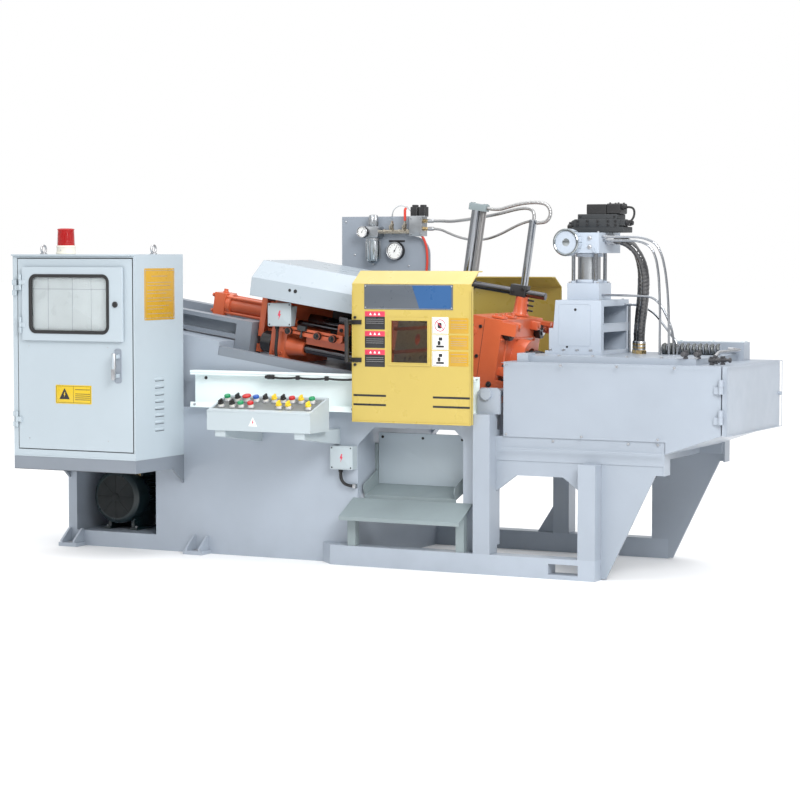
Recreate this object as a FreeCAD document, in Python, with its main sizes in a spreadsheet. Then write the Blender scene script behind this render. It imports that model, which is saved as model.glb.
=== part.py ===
import FreeCAD, Part
import math
import os
import Sketcher

# Small hot-chamber die casting machine, in millimetres, +Z up.
# X runs along the machine, from the clamping end (-X) to the furnace (+X).
# Y = 0 is the middle of the base, and the operator stands on the -Y side.
# The origin is on the floor, under the middle of the base box.
# The clamp unit lies on a bed that slopes down towards the furnace.  Its pieces are drawn
# in the clamp frame: s along the clamp axis, y across, n square to the axis.

Vector = FreeCAD.Vector

SIZES = [
    # overall form
    ("base_length", 2420), ("base_width", 900), ("base_height", 765),
    ("incline", 8.5), ("fit_gap", 0.5), ("seat_gap", 0.2), ("run_gap", 5),
    # motor bay and chute recess of the base
    ("bay_left", 54), ("bay_width", 505), ("bay_floor", 82), ("bay_depth", 620),
    ("recess_corner", 92),
    ("recess_depth", 840), ("front_plate", 12),
    ("well_width", 580), ("end_opening", 760),
    # sloped bed housing
    ("bed_inset", 50), ("bed_drop_high", 155), ("bed_drop_low", 228), ("bed_step", 264),
    ("rail_height", 46), ("rail_width", 50), ("rail_start", 262), ("rail_end", 1060),
    ("channel_top", 43), ("channel_height", 102), ("channel_depth", 70), ("channel_flange", 22),
    ("channel_web", 14), ("channel_start", 1150), ("block_start", 262), ("block_end", 168),
    ("block_depth", 115), ("clamp_half_width", 250),
    # floor feet
    ("foot_width", 115), ("foot_out", 90), ("foot_plate", 20), ("foot_rib", 12),
    ("foot_rib_height", 72), ("foot_hole", 22),
    # motor
    ("motor_radius", 145), ("motor_length", 300),
    ("motor_height", 262),
    # control cabinet
    ("cabinet_wall", 12), ("cabinet_face", 16), ("platform_thick", 66),
    ("platform_rib", 84), ("door_side", 33), ("door_side_right", 14), ("door_low", 42),
    ("door_high", 23), ("hinge_radius", 7), ("hinge_height", 80),
    ("flap_left", 37), ("flap_width", 621), ("flap_low", 562), ("flap_height", 380),
    ("flap_thick", 14), ("flap_frame", 49), ("flap_frame_right", 82), ("flap_frame_low", 40),
    ("glass_thick", 5),
    ("beacon_radius", 52), ("beacon_height", 136),
    ("eye_inset", 33), ("eye_radius", 20), ("eye_wire", 6),
    # door rail and console
    ("door_rail_depth", 57), ("door_rail_wall", 8), ("door_rail_lip", 22),
    ("console_length", 595), ("console_front_height", 100), ("console_back_height", 167),
    ("console_rim", 12), ("console_sink", 8),
    ("arm_width", 58), ("arm_left", 42), ("arm_right", 500),
    # sliding guard and rear guard
    ("guard_width", 656),
    ("guard_bevel", 90), ("guard_lip", 40),
    ("guard_sheet", 6), ("guard_flange", 26), ("window_width", 206),
    ("window_height", 212), ("window_border", 14), ("window_raise", 4),
    ("handle_radius", 11), ("handle_out", 48),
    ("roller_radius", 22),
    # furnace frame
    ("tube_height", 100), ("tube_depth", 90),
    ("pocket_width", 155), ("pocket_low", 22), ("pocket_height", 51),
    ("post_width", 90),
    ("beam_depth", 90),
    ("corbel_run", 110),
    ("gusset_thick", 12), ("gusset_foot", 25), ("gusset_lip", 44), ("gusset_step", 40),
    ("cross_width", 80), ("link_thick", 30), ("ear_width", 121),
    ("ear_height", 128), ("ear_thick", 16), ("ear_pin", 29),
    # furnace box
    ("furnace_wall", 10),
    ("furnace_bay", 400), ("furnace_door_thick", 25), ("furnace_hinge", 12),
    ("cover_thick", 30), ("gas_box_front", 170),
    ("gas_box_depth", 90), ("gas_box_height", 88),
    ("coil_radius", 26), ("coil_y", 40),
    # injection unit
    ("stand_half", 183),
    ("stand_foot", 50), ("stand_step_out", 34), ("stand_wall", 26),
    ("flange_half", 80), ("flange_height", 83),
    ("shot_radius", 56), ("tie_rod_radius", 9),
    ("tie_rod_reach", 60), ("manifold_half", 140),
    ("manifold_height", 101), ("cap_radius", 68), ("cap_length", 44), ("cap_height", 53),
    ("valve_half", 62), ("valve_height", 92),
    ("pilot_height", 52),
    # clamp unit
    ("bar_radius", 22.5), ("bar_y", 190), ("bar_n", 134), ("bar_start", 120), ("bar_end", 1290),
    ("nut_radius", 52), ("nut_length", 60), ("end_nut_radius", 36), ("end_nut_length", 34),
    ("tail_start", 54), ("tail_end", 40), ("tail_half_width", 235), ("tail_top", 200),
    ("horn_length", 96), ("horn_big", 52), ("horn_small", 36), ("hood_stay", 286),
    ("plate_start", 155), ("plate_thick", 33), ("plate_half_width", 200), ("plate_top", 92),
    ("plate_low", 195), ("strut_radius", 14), ("strut_y", 150), ("strut_n", 80),
    ("barrel_radius", 48), ("barrel_start", 465), ("cap_block", 59),
    ("cap_block_length", 68), ("barrel_rod_radius", 8), ("barrel_rod_reach", 42),
    ("ram_radius", 30), ("piston_gap", 1), ("ram_start", 440), ("crosshead_start", 240),
    ("crosshead_end", 290),
    ("crosshead_half_width", 60), ("crosshead_half_height", 48), ("pusher_half_width", 36),
    ("pusher_half_height", 30),
    ("moving_start", 560), ("moving_face", 680), ("platen_half_width", 247), ("platen_half_height", 195),
    ("slot_width", 18), ("slot_depth", 22), ("slot_n", 60), ("centre_hole", 30),
    ("fixed_start", 1080), ("fixed_seam", 1156), ("fixed_end", 1255), ("fixed_top", 200),
    ("fixed_bore", 60), ("arch_radius", 100), ("arch_length", 70), ("lug_length", 78),
    ("lug_width", 72), ("lug_height", 62), ("lug_gap", 26),
    ("limit_start", 8), ("limit_end", 380), ("limit_top", 25), ("limit_height", 35),
    ("limit_out", 27), ("limit_thick", 12), ("knob_radius", 19), ("knob_length", 26),
    ("nozzle_radius", 32), ("collar_rim", 22), ("collar_length", 44),
    # hood
    ("hood_start", 148), ("hood_end", 640), ("hood_top", 290), ("hood_fold", 202), ("hood_low", 106),
    ("hood_top_half", 250), ("hood_half", 350), ("hood_sheet", 4),
    # air panel and spray gear
    ("panel_thick", 8), ("panel_curve", 97),
    ("pedestal_s", 1169), ("pedestal_y", 150), ("pedestal_radius", 33), ("pedestal_height", 100),
    ("clamp_block", 52), ("rod_radius", 19), ("cross_rod_n", 318), ("cross_rod_start", 845),
    ("cross_rod_end", 1300), ("mast_top", 695), ("column_s", 863), ("column_radius", 23),
    ("column_top", 700), ("column_cap", 34),
    # chute
    ("chute_sheet", 5),
]

# heights of what stands on the base or hangs on its sides, counted from its top
LEVELS = [
    ("axis_height", 460), ("recess_top", -70), ("cabinet_floor", -250), ("cabinet_top", 799),
    ("door_rail_low", 11), ("door_rail_high", 197), ("console_low", -83), ("arm_root", -163),
    ("arm_tip", -115), ("guard_low", -34), ("guard_bend", 654), ("guard_top", 717),
    ("window_low", 263), ("handle_low", 263), ("handle_high", 473), ("rear_guard_bend", 627),
    ("rear_guard_top", 681), ("post_a_height", 19), ("beam_low", -206), ("beam_high", -89),
    ("corbel_low", -360), ("corbel_top", -278), ("furnace_top_level", 277), ("furnace_drop", -147),
    ("furnace_rise", -51), ("stand_top", 573), ("stand_step", 434), ("shot_top", 805),
    ("panel_top", 1003), ("chute_bottom", -377), ("chute_top", -110), ("tray_high", -435),
    ("tray_low", -515), ("box_low", -285),
]

# positions along X, counted outwards from the ends of the base
STATIONS = [
    ("recess_left", -650), ("recess_right", -60), ("well_left", -600), ("well_right", -190),
    ("foot_left_end", 5), ("foot_right_end", -782), ("motor_x", -258), ("cabinet_left", 19),
    ("cabinet_right", -735), ("beacon_x", -157), ("door_rail_right", 30), ("guard_left", -617),
    ("window_left", -400), ("tube_left", -761), ("tube_right", 680), ("pocket_left", 437),
    ("post_a", 35), ("post_b", 590), ("beam_right", 995), ("ear_left", 30), ("furnace_left", 167),
    ("furnace_right", 1313), ("cover_left", 230), ("cover_right", 1140), ("gas_box_left", 800),
    ("gas_box_right", 1174), ("coil_left", 800), ("coil_right", 1100), ("stand_left", 317),
    ("stand_right", 561), ("flange_left", 336), ("flange_right", 506), ("shot_x", 421),
    ("manifold_left", 310), ("manifold_right", 530), ("cap_x", 372), ("valve_left", 347),
    ("valve_right", 628), ("pilot_left", 421), ("pilot_right", 605), ("panel_right", -692),
    ("panel_shoulder", -789), ("clamp_origin", -1210), ("console_left", -1308),
    ("door_rail_left", -1608), ("panel_left", -1229),
]

# distances from the middle plane, counted outwards from the sides of the base
REACHES = [
    ("cabinet_front", 457), ("beacon_y", 228), ("console_front", 380), ("console_back", 185),
    ("guard_face", 120), ("beam_face", 15), ("furnace_front", 21), ("furnace_back", -140),
    ("cover_front", -30), ("cover_back", -200), ("panel_back", 13), ("motor_front", -70),
    ("chute_back", -200), ("chute_front", -55),
]


class Size:
    """A number that remembers the sheet formula it comes from."""

    def __init__(self, value, formula):
        self.value = value
        self.formula = formula

    def __add__(self, other):
        other = size(other)
        return Size(self.value + other.value, f"({self.formula} + {other.formula})")

    def __sub__(self, other):
        other = size(other)
        return Size(self.value - other.value, f"({self.formula} - {other.formula})")

    def __mul__(self, other):
        other = size(other)
        return Size(self.value * other.value, f"({self.formula} * {other.formula})")

    def __truediv__(self, other):
        other = size(other)
        return Size(self.value / other.value, f"({self.formula} / {other.formula})")

    def __radd__(self, other):
        return size(other) + self

    def __rsub__(self, other):
        return size(other) - self

    def __rmul__(self, other):
        return size(other) * self

    def __neg__(self):
        return Size(-self.value, f"(0 - {self.formula})")


def size(number):
    """Return number as a Size."""
    if isinstance(number, Size):
        return number
    return Size(float(number), f"({float(number)!r})")


def cosine(angle):
    return Size(math.cos(math.radians(angle.value)), f"cos({angle.formula} * 1deg)")


def sine(angle):
    return Size(math.sin(math.radians(angle.value)), f"sin({angle.formula} * 1deg)")


def make_sheet(document):
    """Write every driving size into the sheet and return them by name."""
    sheet = document.addObject("Spreadsheet::Sheet", "Sizes")
    named = {}
    for row, (name, value) in enumerate(SIZES + LEVELS + STATIONS + REACHES, start=1):
        sheet.set(f"A{row}", name)
        sheet.set(f"B{row}", str(value))
        sheet.setAlias(f"B{row}", name)
        named[name] = Size(float(value), f"Sizes.{name}")
    document.recompute()
    for group_of, start in ((LEVELS, named["base_height"]), (STATIONS, named["base_length"] / 2),
                            (REACHES, named["base_width"] / 2)):
        for name, _ in group_of:
            named[name] = start + named[name]
    return named


class Namespace:
    """The sheet's sizes as attributes."""

    def __init__(self, values):
        self.__dict__.update(values)


doc = FreeCAD.newDocument("DieCastingMachine")
D = Namespace(make_sheet(doc))
pieces = []


# ---------------------------------------------------------------- building blocks

def bind(item, path, amount):
    """Tie one property of an object to its sheet formula."""
    item.setExpression(path, size(amount).formula)


def set_base(item, x, y, z):
    for letter, amount in zip("xyz", (x, y, z)):
        bind(item, f"Placement.Base.{letter}", amount)


def box(name, x, y, z):
    """A box between two X, two Y and two Z levels."""
    item = doc.addObject("Part::Box", name)
    for edge, (low, high) in zip(("Length", "Width", "Height"), (x, y, z)):
        bind(item, edge, size(high) - low)
    set_base(item, x[0], y[0], z[0])
    return item


AXIS_TURN = {
    "x": FreeCAD.Rotation(Vector(0, 1, 0), 90),
    "y": FreeCAD.Rotation(Vector(1, 0, 0), -90),
    "z": FreeCAD.Rotation(),
}


def along(axis, centre, low):
    """The base point of a round piece whose axis is X, Y or Z, from its centre in order."""
    first, second = centre
    return {"x": (low, first, second), "y": (first, low, second), "z": (first, second, low)}[axis]


def rod(name, axis, centre, radius, low, high):
    """A round bar along one axis; centre holds the two other coordinates in X, Y, Z order."""
    item = doc.addObject("Part::Cylinder", name)
    item.Placement = FreeCAD.Placement(Vector(), AXIS_TURN[axis])
    bind(item, "Radius", radius)
    bind(item, "Height", size(high) - low)
    set_base(item, *along(axis, centre, low))
    return item


def taper(name, axis, centre, radius_low, radius_high, low, high):
    """A cone along one axis."""
    item = doc.addObject("Part::Cone", name)
    item.Placement = FreeCAD.Placement(Vector(), AXIS_TURN[axis])
    bind(item, "Radius1", radius_low)
    bind(item, "Radius2", radius_high)
    bind(item, "Height", size(high) - low)
    set_base(item, *along(axis, centre, low))
    return item


def ring(name, axis, centre, big, small, low):
    """A torus lying square to one axis."""
    item = doc.addObject("Part::Torus", name)
    item.Placement = FreeCAD.Placement(Vector(), AXIS_TURN[axis])
    bind(item, "Radius1", big)
    bind(item, "Radius2", small)
    set_base(item, *along(axis, centre, low))
    return item


def draw_outline(sketch, outline, first):
    """Add a closed outline of straight lines, each corner tied to its formula."""
    count = len(outline)
    corners = [Vector(size(a).value, size(b).value, 0) for a, b in outline]
    lines = [Part.LineSegment(corners[i], corners[(i + 1) % count]) for i in range(count)]
    sketch.addGeometry(lines, False)
    for i in range(count):
        sketch.addConstraint(Sketcher.Constraint("Coincident", first + i, 2, first + (i + 1) % count, 1))
    for i, (a, b) in enumerate(outline):
        for kind, amount in (("DistanceX", size(a)), ("DistanceY", size(b))):
            number = sketch.addConstraint(Sketcher.Constraint(kind, -1, 1, first + i, 1, amount.value))
            label = f"{kind}_{first + i}"
            sketch.renameConstraint(number, label)
            bind(sketch, f"Constraints.{label}", amount)
    return first + count


# how far a sketch is lifted off its plane, so that its pad fills low to high
LIFT = {"XZ": lambda low, high: -high, "YZ": lambda low, high: low, "XY": lambda low, high: low}


def prism(name, plane, outlines, low, high):
    """A body padded from outlines on one of its origin planes; later outlines are holes."""
    low, high = size(low), size(high)
    body = doc.addObject("PartDesign::Body", name)
    sketch = body.newObject("Sketcher::SketchObject", name + "_outline")
    support = [item for item in body.Origin.OriginFeatures if item.Role == plane + "_Plane"]
    sketch.AttachmentSupport = [(support[0], "")]
    sketch.MapMode = "FlatFace"
    bind(sketch, "AttachmentOffset.Base.z", LIFT[plane](low, high))
    first = 0
    for outline in outlines:
        first = draw_outline(sketch, outline, first)
    pad = body.newObject("PartDesign::Pad", name + "_pad")
    pad.Profile = sketch
    bind(pad, "Length", high - low)
    return body


def rectangle(a, b):
    """The four corners of a rectangle between two levels each way."""
    return [(a[0], b[0]), (a[1], b[0]), (a[1], b[1]), (a[0], b[1])]


def fuse(name, *items):
    joined = doc.addObject("Part::MultiFuse", name)
    joined.Shapes = list(items)
    return joined


def cut(name, base, *tools):
    tool = tools[0] if len(tools) == 1 else fuse(name + "_tools", *tools)
    result = doc.addObject("Part::Cut", name)
    result.Base = base
    result.Tool = tool
    return result


def group(name, *items):
    """Separate solids that share one node."""
    together = doc.addObject("Part::Compound", name)
    together.Links = list(items)
    return together


def keep(item, label):
    """Name a finished sub-part after its node."""
    item.Label = label
    pieces.append(item)
    return item


def lay_on_slope(item):
    """Place an item that was drawn in the clamp frame."""
    turn = FreeCAD.Rotation(Vector(0, 1, 0), D.incline.value)
    item.Placement = FreeCAD.Placement(Vector(), turn)
    bind(item, "Placement.Rotation.Angle", D.incline)
    set_base(item, D.clamp_origin, 0, D.axis_height)
    return item


def keep_sloped(item, label):
    """Name a sub-part drawn in the clamp frame and lay it on the slope."""
    return keep(lay_on_slope(item), label)


def sloped_x(s, n):
    """Machine X of a point of the clamp frame."""
    return D.clamp_origin + s * cosine(D.incline) + n * sine(D.incline)


def sloped_z(s, n):
    """Machine Z of a point of the clamp frame."""
    return D.axis_height - s * sine(D.incline) + n * cosine(D.incline)


def sloped_line(x, n):
    """Height at machine X of the line that runs along the slope at n."""
    return D.axis_height + (n - (x - D.clamp_origin) * sine(D.incline)) / cosine(D.incline)


def both_sides(maker):
    """The same item made on the front (-1) and on the rear (+1)."""
    return [maker(-1), maker(1)]


def span(side, near, far):
    """A Y range on one side of the middle, lowest first."""
    if side > 0:
        return size(near), size(far)
    return -size(far), -size(near)


HALF_LENGTH = D.base_length / 2
HALF_WIDTH = D.base_width / 2
BED_HALF = HALF_WIDTH - D.bed_inset
TUBE_OUTER = HALF_WIDTH + D.tube_depth


# ---------------------------------------------------------------- base

def build_base():
    block = box("base_block", (-HALF_LENGTH, HALF_LENGTH), (-HALF_WIDTH, HALF_WIDTH), (0, D.base_height))
    bay_left = D.bay_left - HALF_LENGTH
    bay = box("motor_bay", (bay_left, bay_left + D.bay_width),
              (-HALF_WIDTH - 1, D.bay_depth - HALF_WIDTH), (D.bay_floor, D.cabinet_floor - D.platform_thick))
    corner = D.recess_corner
    room = box("recess_room", (D.recess_left, D.recess_right),
               (D.front_plate - HALF_WIDTH, D.recess_depth - HALF_WIDTH), (-1, D.recess_top))
    mouth = [(D.recess_left, -1), (D.recess_right, -1),
             (D.recess_right, D.recess_top - corner / 2), (D.recess_right - corner / 2, D.recess_top),
             (D.recess_left + corner, D.recess_top), (D.recess_left, D.recess_top - corner)]
    recess = prism("chute_recess", "XZ", [mouth], -HALF_WIDTH - 1, D.front_plate - HALF_WIDTH + 1)
    rear = prism("rear_recess", "XZ", [mouth], D.recess_depth - HALF_WIDTH - 1, HALF_WIDTH + 1)
    end = box("end_recess", (D.recess_right - 1, HALF_LENGTH + 1),
              (-D.end_opening / 2, HALF_WIDTH + 1), (-1, D.recess_top - corner))
    well = box("casting_well", (D.well_left, D.well_right),
               (-D.well_width / 2, D.well_width / 2), (D.recess_top - 1, D.base_height + 1))
    keep(cut("base_box", block, bay, room, recess, rear, end, well), "base_box")


def build_bed_housing():
    end = HALF_LENGTH
    step_high = (sloped_x(-D.bed_step, -D.bed_drop_high), sloped_z(-D.bed_step, -D.bed_drop_high))
    step_low = (sloped_x(-D.bed_step, -D.bed_drop_low), sloped_z(-D.bed_step, -D.bed_drop_low))
    wedge = prism("bed_wedge", "XZ", [[
        (-end, D.base_height), (end, D.base_height), (end, sloped_line(end, -D.bed_drop_low)),
        step_low, step_high, (-end, sloped_line(-end, -D.bed_drop_high)),
    ]], -BED_HALF, BED_HALF)
    well = box("bed_well", (D.well_left, D.well_right),
               (-D.well_width / 2, D.well_width / 2), (D.base_height - 1, D.cabinet_top))
    keep(cut("bed_housing", wedge, well), "bed_housing")


def build_guide_rails():
    def one(side):
        y = span(side, BED_HALF - D.rail_width, BED_HALF)
        return box("guide_rail", (-D.rail_start, D.rail_end), y,
                   (-D.bed_drop_low, D.rail_height - D.bed_drop_low))
    keep_sloped(group("guide_rails", *both_sides(one)), "guide_rails")


def build_bed_channels():
    """Two channels that carry the rear of the clamp unit, each with its end block and pads."""
    top = -D.channel_top
    low = top - D.channel_height
    outer = D.clamp_half_width
    def one(side):
        near = outer - D.channel_depth
        solid = box("channel_bar", (-D.channel_start, -D.block_start), span(side, near, outer), (low, top))
        hollow = box("channel_hollow", (-D.channel_start - 1, -D.block_start - 1),
                     span(side, near + D.channel_web, outer + 1),
                     (low + D.channel_flange, top - D.channel_flange))
        bar = cut("channel", solid, hollow)
        block_y = span(side, outer - D.block_depth, outer)
        block = box("channel_block", (-D.block_start, -D.block_end), block_y, (-D.bed_drop_low, top))
        pads = [box("channel_pad", (-start, 60 - start), span(side, near, outer), (-D.bed_drop_high, low))
                for start in (D.channel_start, D.channel_start - 480)]
        return fuse("channel_side", bar, block, *pads)
    keep_sloped(group("bed_channels", *both_sides(one)), "bed_channels")


def build_feet():
    """Four foot plates with two ribs and a bolt hole each, welded to the sides of the base."""
    def one(side, left):
        y = span(side, HALF_WIDTH, HALF_WIDTH + D.foot_out)
        plate = box("foot_plate", (left, left + D.foot_width), y, (0, D.foot_plate))
        hole = rod("foot_bolt_hole", "z", (left + D.foot_width / 2, side * (HALF_WIDTH + D.foot_out / 2)),
                   D.foot_hole / 2, -1, D.foot_plate + 1)
        drilled = cut("foot_drilled", plate, hole)
        wall = side * HALF_WIDTH
        tip = side * (HALF_WIDTH + D.foot_out)
        top = D.foot_plate + D.foot_rib_height
        outline = [(wall, D.foot_plate), (tip, D.foot_plate), (tip, D.foot_plate + 12),
                   (side * (HALF_WIDTH + 14), top), (wall, top)]
        if side < 0:
            outline.reverse()
        ribs = [prism("foot_rib", "YZ", [outline], x, x + D.foot_rib)
                for x in (left + 12, left + D.foot_width - 12 - D.foot_rib)]
        return fuse("foot", drilled, *ribs)
    feet = [one(side, left) for side in (-1, 1) for left in (-D.foot_left_end, -D.foot_right_end)]
    keep(group("floor_feet", *feet), "floor_feet")


def build_motor():
    front = -D.motor_front
    centre = (-D.motor_x, D.motor_height)
    shell = rod("motor_shell", "y", centre, D.motor_radius, front, front + D.motor_length)
    nose = rod("motor_nose", "y", centre, D.motor_radius * 0.62, front + D.motor_length - 1,
               front + D.motor_length + 60)
    stand = box("motor_stand", (-D.motor_x - 110, -D.motor_x + 110),
                (front + 40, front + D.motor_length - 20),
                (D.bay_floor, D.motor_height - 90))
    hub = rod("motor_hub", "y", centre, 22, front - 8, front + 1)
    keep(fuse("pump_motor", shell, nose, stand, hub), "pump_motor")


# ---------------------------------------------------------------- control cabinet

CABINET_X = (-D.cabinet_left, -D.cabinet_right)
CABINET_BACK = -HALF_WIDTH
CABINET_FACE = -D.cabinet_front
DOOR_X = (-D.cabinet_left + D.door_side, -D.cabinet_right - D.door_side_right)
DOOR_Z = (D.cabinet_floor + D.door_low, D.cabinet_top - D.door_high)
FLAP_X = (DOOR_X[0] + D.flap_left, DOOR_X[0] + D.flap_left + D.flap_width)
FLAP_Z = (DOOR_Z[0] + D.flap_low, DOOR_Z[0] + D.flap_low + D.flap_height)


def hinge_parts(name, x, y, z, fixed_leaf, moving_leaf):
    """A three-part barrel hinge on a vertical axis: outer knuckles fixed, middle one moving.

    Each leaf is the (x range, y range) of the strap that ties the knuckles to their panel.
    """
    third = D.hinge_height / 3
    gap = D.fit_gap / 2
    levels = [(z, z + third - gap), (z + third + gap, z + 2 * third - gap),
              (z + 2 * third + gap, z + 3 * third)]
    knuckles = [rod(name + "_knuckle", "z", (x, y), D.hinge_radius, *level) for level in levels]
    straps = [box(name + "_strap", *leaf, level)
              for leaf, level in zip((fixed_leaf, moving_leaf, fixed_leaf), levels)]
    fixed = [knuckles[0], straps[0], knuckles[2], straps[2]]
    moving = [knuckles[1], straps[1]]
    return fixed, moving


CABINET_AXIS = (DOOR_X[0] - D.run_gap - 4, CABINET_FACE - D.hinge_radius - 1)
CABINET_HINGE_LEVELS = (DOOR_Z[0] + 110, DOOR_Z[1] - 190)


def cabinet_hinges():
    fixed = []
    moving = []
    x, y = CABINET_AXIS
    for level in CABINET_HINGE_LEVELS:
        frame_leaf = ((x - 22, x), (y - 3, CABINET_FACE))
        door_leaf = ((x, x + 30), (y - 3, CABINET_FACE))
        some_fixed, some_moving = hinge_parts("cabinet_hinge", x, y, level, frame_leaf, door_leaf)
        fixed += some_fixed
        moving += some_moving
    return fixed, moving


def build_cabinet():
    left, right = CABINET_X
    outer = box("cabinet_outer", CABINET_X, (CABINET_FACE, CABINET_BACK), (D.cabinet_floor, D.cabinet_top))
    wall = D.cabinet_wall
    inner = box("cabinet_inner",
                (left + wall, right - wall), (CABINET_FACE + D.cabinet_face, CABINET_BACK - wall),
                (D.cabinet_floor + wall, D.cabinet_top - wall))
    gap = D.run_gap
    mouth = box("cabinet_mouth", (DOOR_X[0] - gap, DOOR_X[1] + gap),
                (CABINET_FACE - 1, CABINET_FACE + D.cabinet_face + 1),
                (DOOR_Z[0] - gap, DOOR_Z[1] + gap))
    shell = cut("cabinet_shell", outer, inner, mouth)
    keep(fuse("control_cabinet", shell, *cabinet_hinges()[0]), "control_cabinet")

    slab = box("platform_slab", CABINET_X, (CABINET_FACE, CABINET_BACK),
               (D.cabinet_floor - D.platform_thick, D.cabinet_floor))
    low = D.cabinet_floor - D.platform_thick
    outline = [(CABINET_BACK, low), (CABINET_BACK, low - D.platform_rib), (CABINET_BACK - 105, low)]
    ribs = [prism("platform_rib", "YZ", [outline], x, x + 14) for x in (left + 20, right - 14)]
    keep(fuse("cabinet_platform", slab, *ribs), "cabinet_platform")


def build_lifting_eyes():
    """Two eye bolts screwed into the cabinet roof."""
    y = (CABINET_FACE + CABINET_BACK) / 2
    top = D.cabinet_top
    eyes = []
    for x in (-D.cabinet_left + D.eye_inset, -D.cabinet_right - D.eye_inset):
        shank = rod("eye_shank", "z", (x, y), D.eye_wire + 4, top, top + 8)
        loop = ring("eye_ring", "x", (y, top + D.eye_radius + D.eye_wire), D.eye_radius, D.eye_wire, x)
        eyes.append(fuse("lifting_eye", shank, loop))
    keep(group("lifting_eyes", *eyes), "lifting_eyes")


def build_cabinet_door():
    panel = box("door_panel", DOOR_X, (CABINET_FACE - 1, CABINET_FACE + D.cabinet_face), DOOR_Z)
    screen = box("operator_panel", (FLAP_X[0] + 40, FLAP_X[1] - 75), (CABINET_FACE - 5, CABINET_FACE),
                 (FLAP_Z[0] + 35, FLAP_Z[1] - 35))
    lever = FLAP_X[1] - 39
    grip_y = CABINET_FACE - 40
    grip_low = DOOR_Z[0] + 376
    grip = rod("grip_bar", "z", (lever, grip_y), 11, grip_low, grip_low + 126)
    lugs = [box("grip_lug", (lever - 11, lever + 11), (grip_y, CABINET_FACE), (z, z + 20))
            for z in (grip_low + 4, grip_low + 102)]
    flap_fixed = flap_hinges()[0]
    keep(fuse("cabinet_door", panel, screen, grip, *lugs, *cabinet_hinges()[1], *flap_fixed), "cabinet_door")


FLAP_FACE = CABINET_FACE - 6
FLAP_AXIS = (FLAP_X[0] - D.hinge_radius - 1, FLAP_FACE - D.flap_thick - 3)


def flap_hinges():
    fixed = []
    moving = []
    x, y = FLAP_AXIS
    for level in (FLAP_Z[0] + 40, FLAP_Z[1] - 120):
        door_leaf = ((x - 14, x), (y, CABINET_FACE))
        flap_leaf = ((x, x + 30), (y, y + 3))
        some_fixed, some_moving = hinge_parts("flap_hinge", x, y, level, door_leaf, flap_leaf)
        fixed += some_fixed
        moving += some_moving
    return fixed, moving


def build_window_flap():
    front = FLAP_FACE - D.flap_thick
    plate = box("flap_plate", FLAP_X, (front, FLAP_FACE), FLAP_Z)
    opening_x = (FLAP_X[0] + D.flap_frame, FLAP_X[1] - D.flap_frame_right)
    opening_z = (FLAP_Z[0] + D.flap_frame_low, FLAP_Z[1] - D.flap_frame_low)
    opening = box("flap_opening", opening_x, (front - 1, FLAP_FACE + 1), opening_z)
    frame = cut("flap_frame", plate, opening)
    seal = cut("flap_seal", box("seal_outer", (opening_x[0] - 4, opening_x[1] + 4), (front - 5, front + 1),
                                (opening_z[0] - 4, opening_z[1] + 4)),
               box("seal_inner", (opening_x[0] + 14, opening_x[1] - 14), (front - 6, front + 2),
                   (opening_z[0] + 14, opening_z[1] - 14)))
    pane = box("flap_pane", (opening_x[0] - 0.5, opening_x[1] + 0.5), (front + 4, front + 4 + D.glass_thick),
               (opening_z[0] - 0.5, opening_z[1] + 0.5))
    lock = rod("flap_lock", "y", (FLAP_X[1] - 42, (FLAP_Z[0] + FLAP_Z[1]) / 2), 16, front - 9, front + 1)
    keep(fuse("window_flap", frame, seal, pane, lock, *flap_hinges()[1]), "window_flap")


def build_beacon():
    centre = (-D.beacon_x, -D.beacon_y)
    top = D.cabinet_top
    foot = rod("beacon_foot", "z", centre, D.beacon_radius, top, top + 46)
    lens = taper("beacon_lens", "z", centre, D.beacon_radius - 4, D.beacon_radius - 14, top + 46,
                 top + D.beacon_height)
    keep(fuse("beacon", foot, lens), "beacon")


# ---------------------------------------------------------------- rail, console and guards

def build_door_rails():
    """A channel on each side whose top lip carries the guard."""
    def one(side):
        x = (D.door_rail_left, D.door_rail_right)
        wall = D.door_rail_wall
        outer = HALF_WIDTH + D.door_rail_depth
        z = (D.door_rail_low, D.door_rail_high)
        block = box("rail_block", x, span(side, HALF_WIDTH, outer), z)
        hollow = box("rail_hollow", (x[0] - 1, x[1] + 1), span(side, HALF_WIDTH + wall, outer - wall),
                     (z[0] + wall, z[1] - wall))
        mouth = box("rail_mouth", (x[0] - 1, x[1] + 1), span(side, outer - wall - 1, outer + 1),
                    (z[0] + D.door_rail_lip, z[1] - D.door_rail_lip))
        spacers = [box("rail_spacer", (left, left + 70), span(side, BED_HALF, HALF_WIDTH + 1),
                       (D.base_height, D.base_height + 60)) for left in (x[0] + 18, x[0] + 558, x[1] - 120)]
        return fuse("rail_side", cut("rail_channel", block, hollow, mouth), *spacers)
    keep(group("door_rails", *both_sides(one)), "door_rails")


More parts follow.
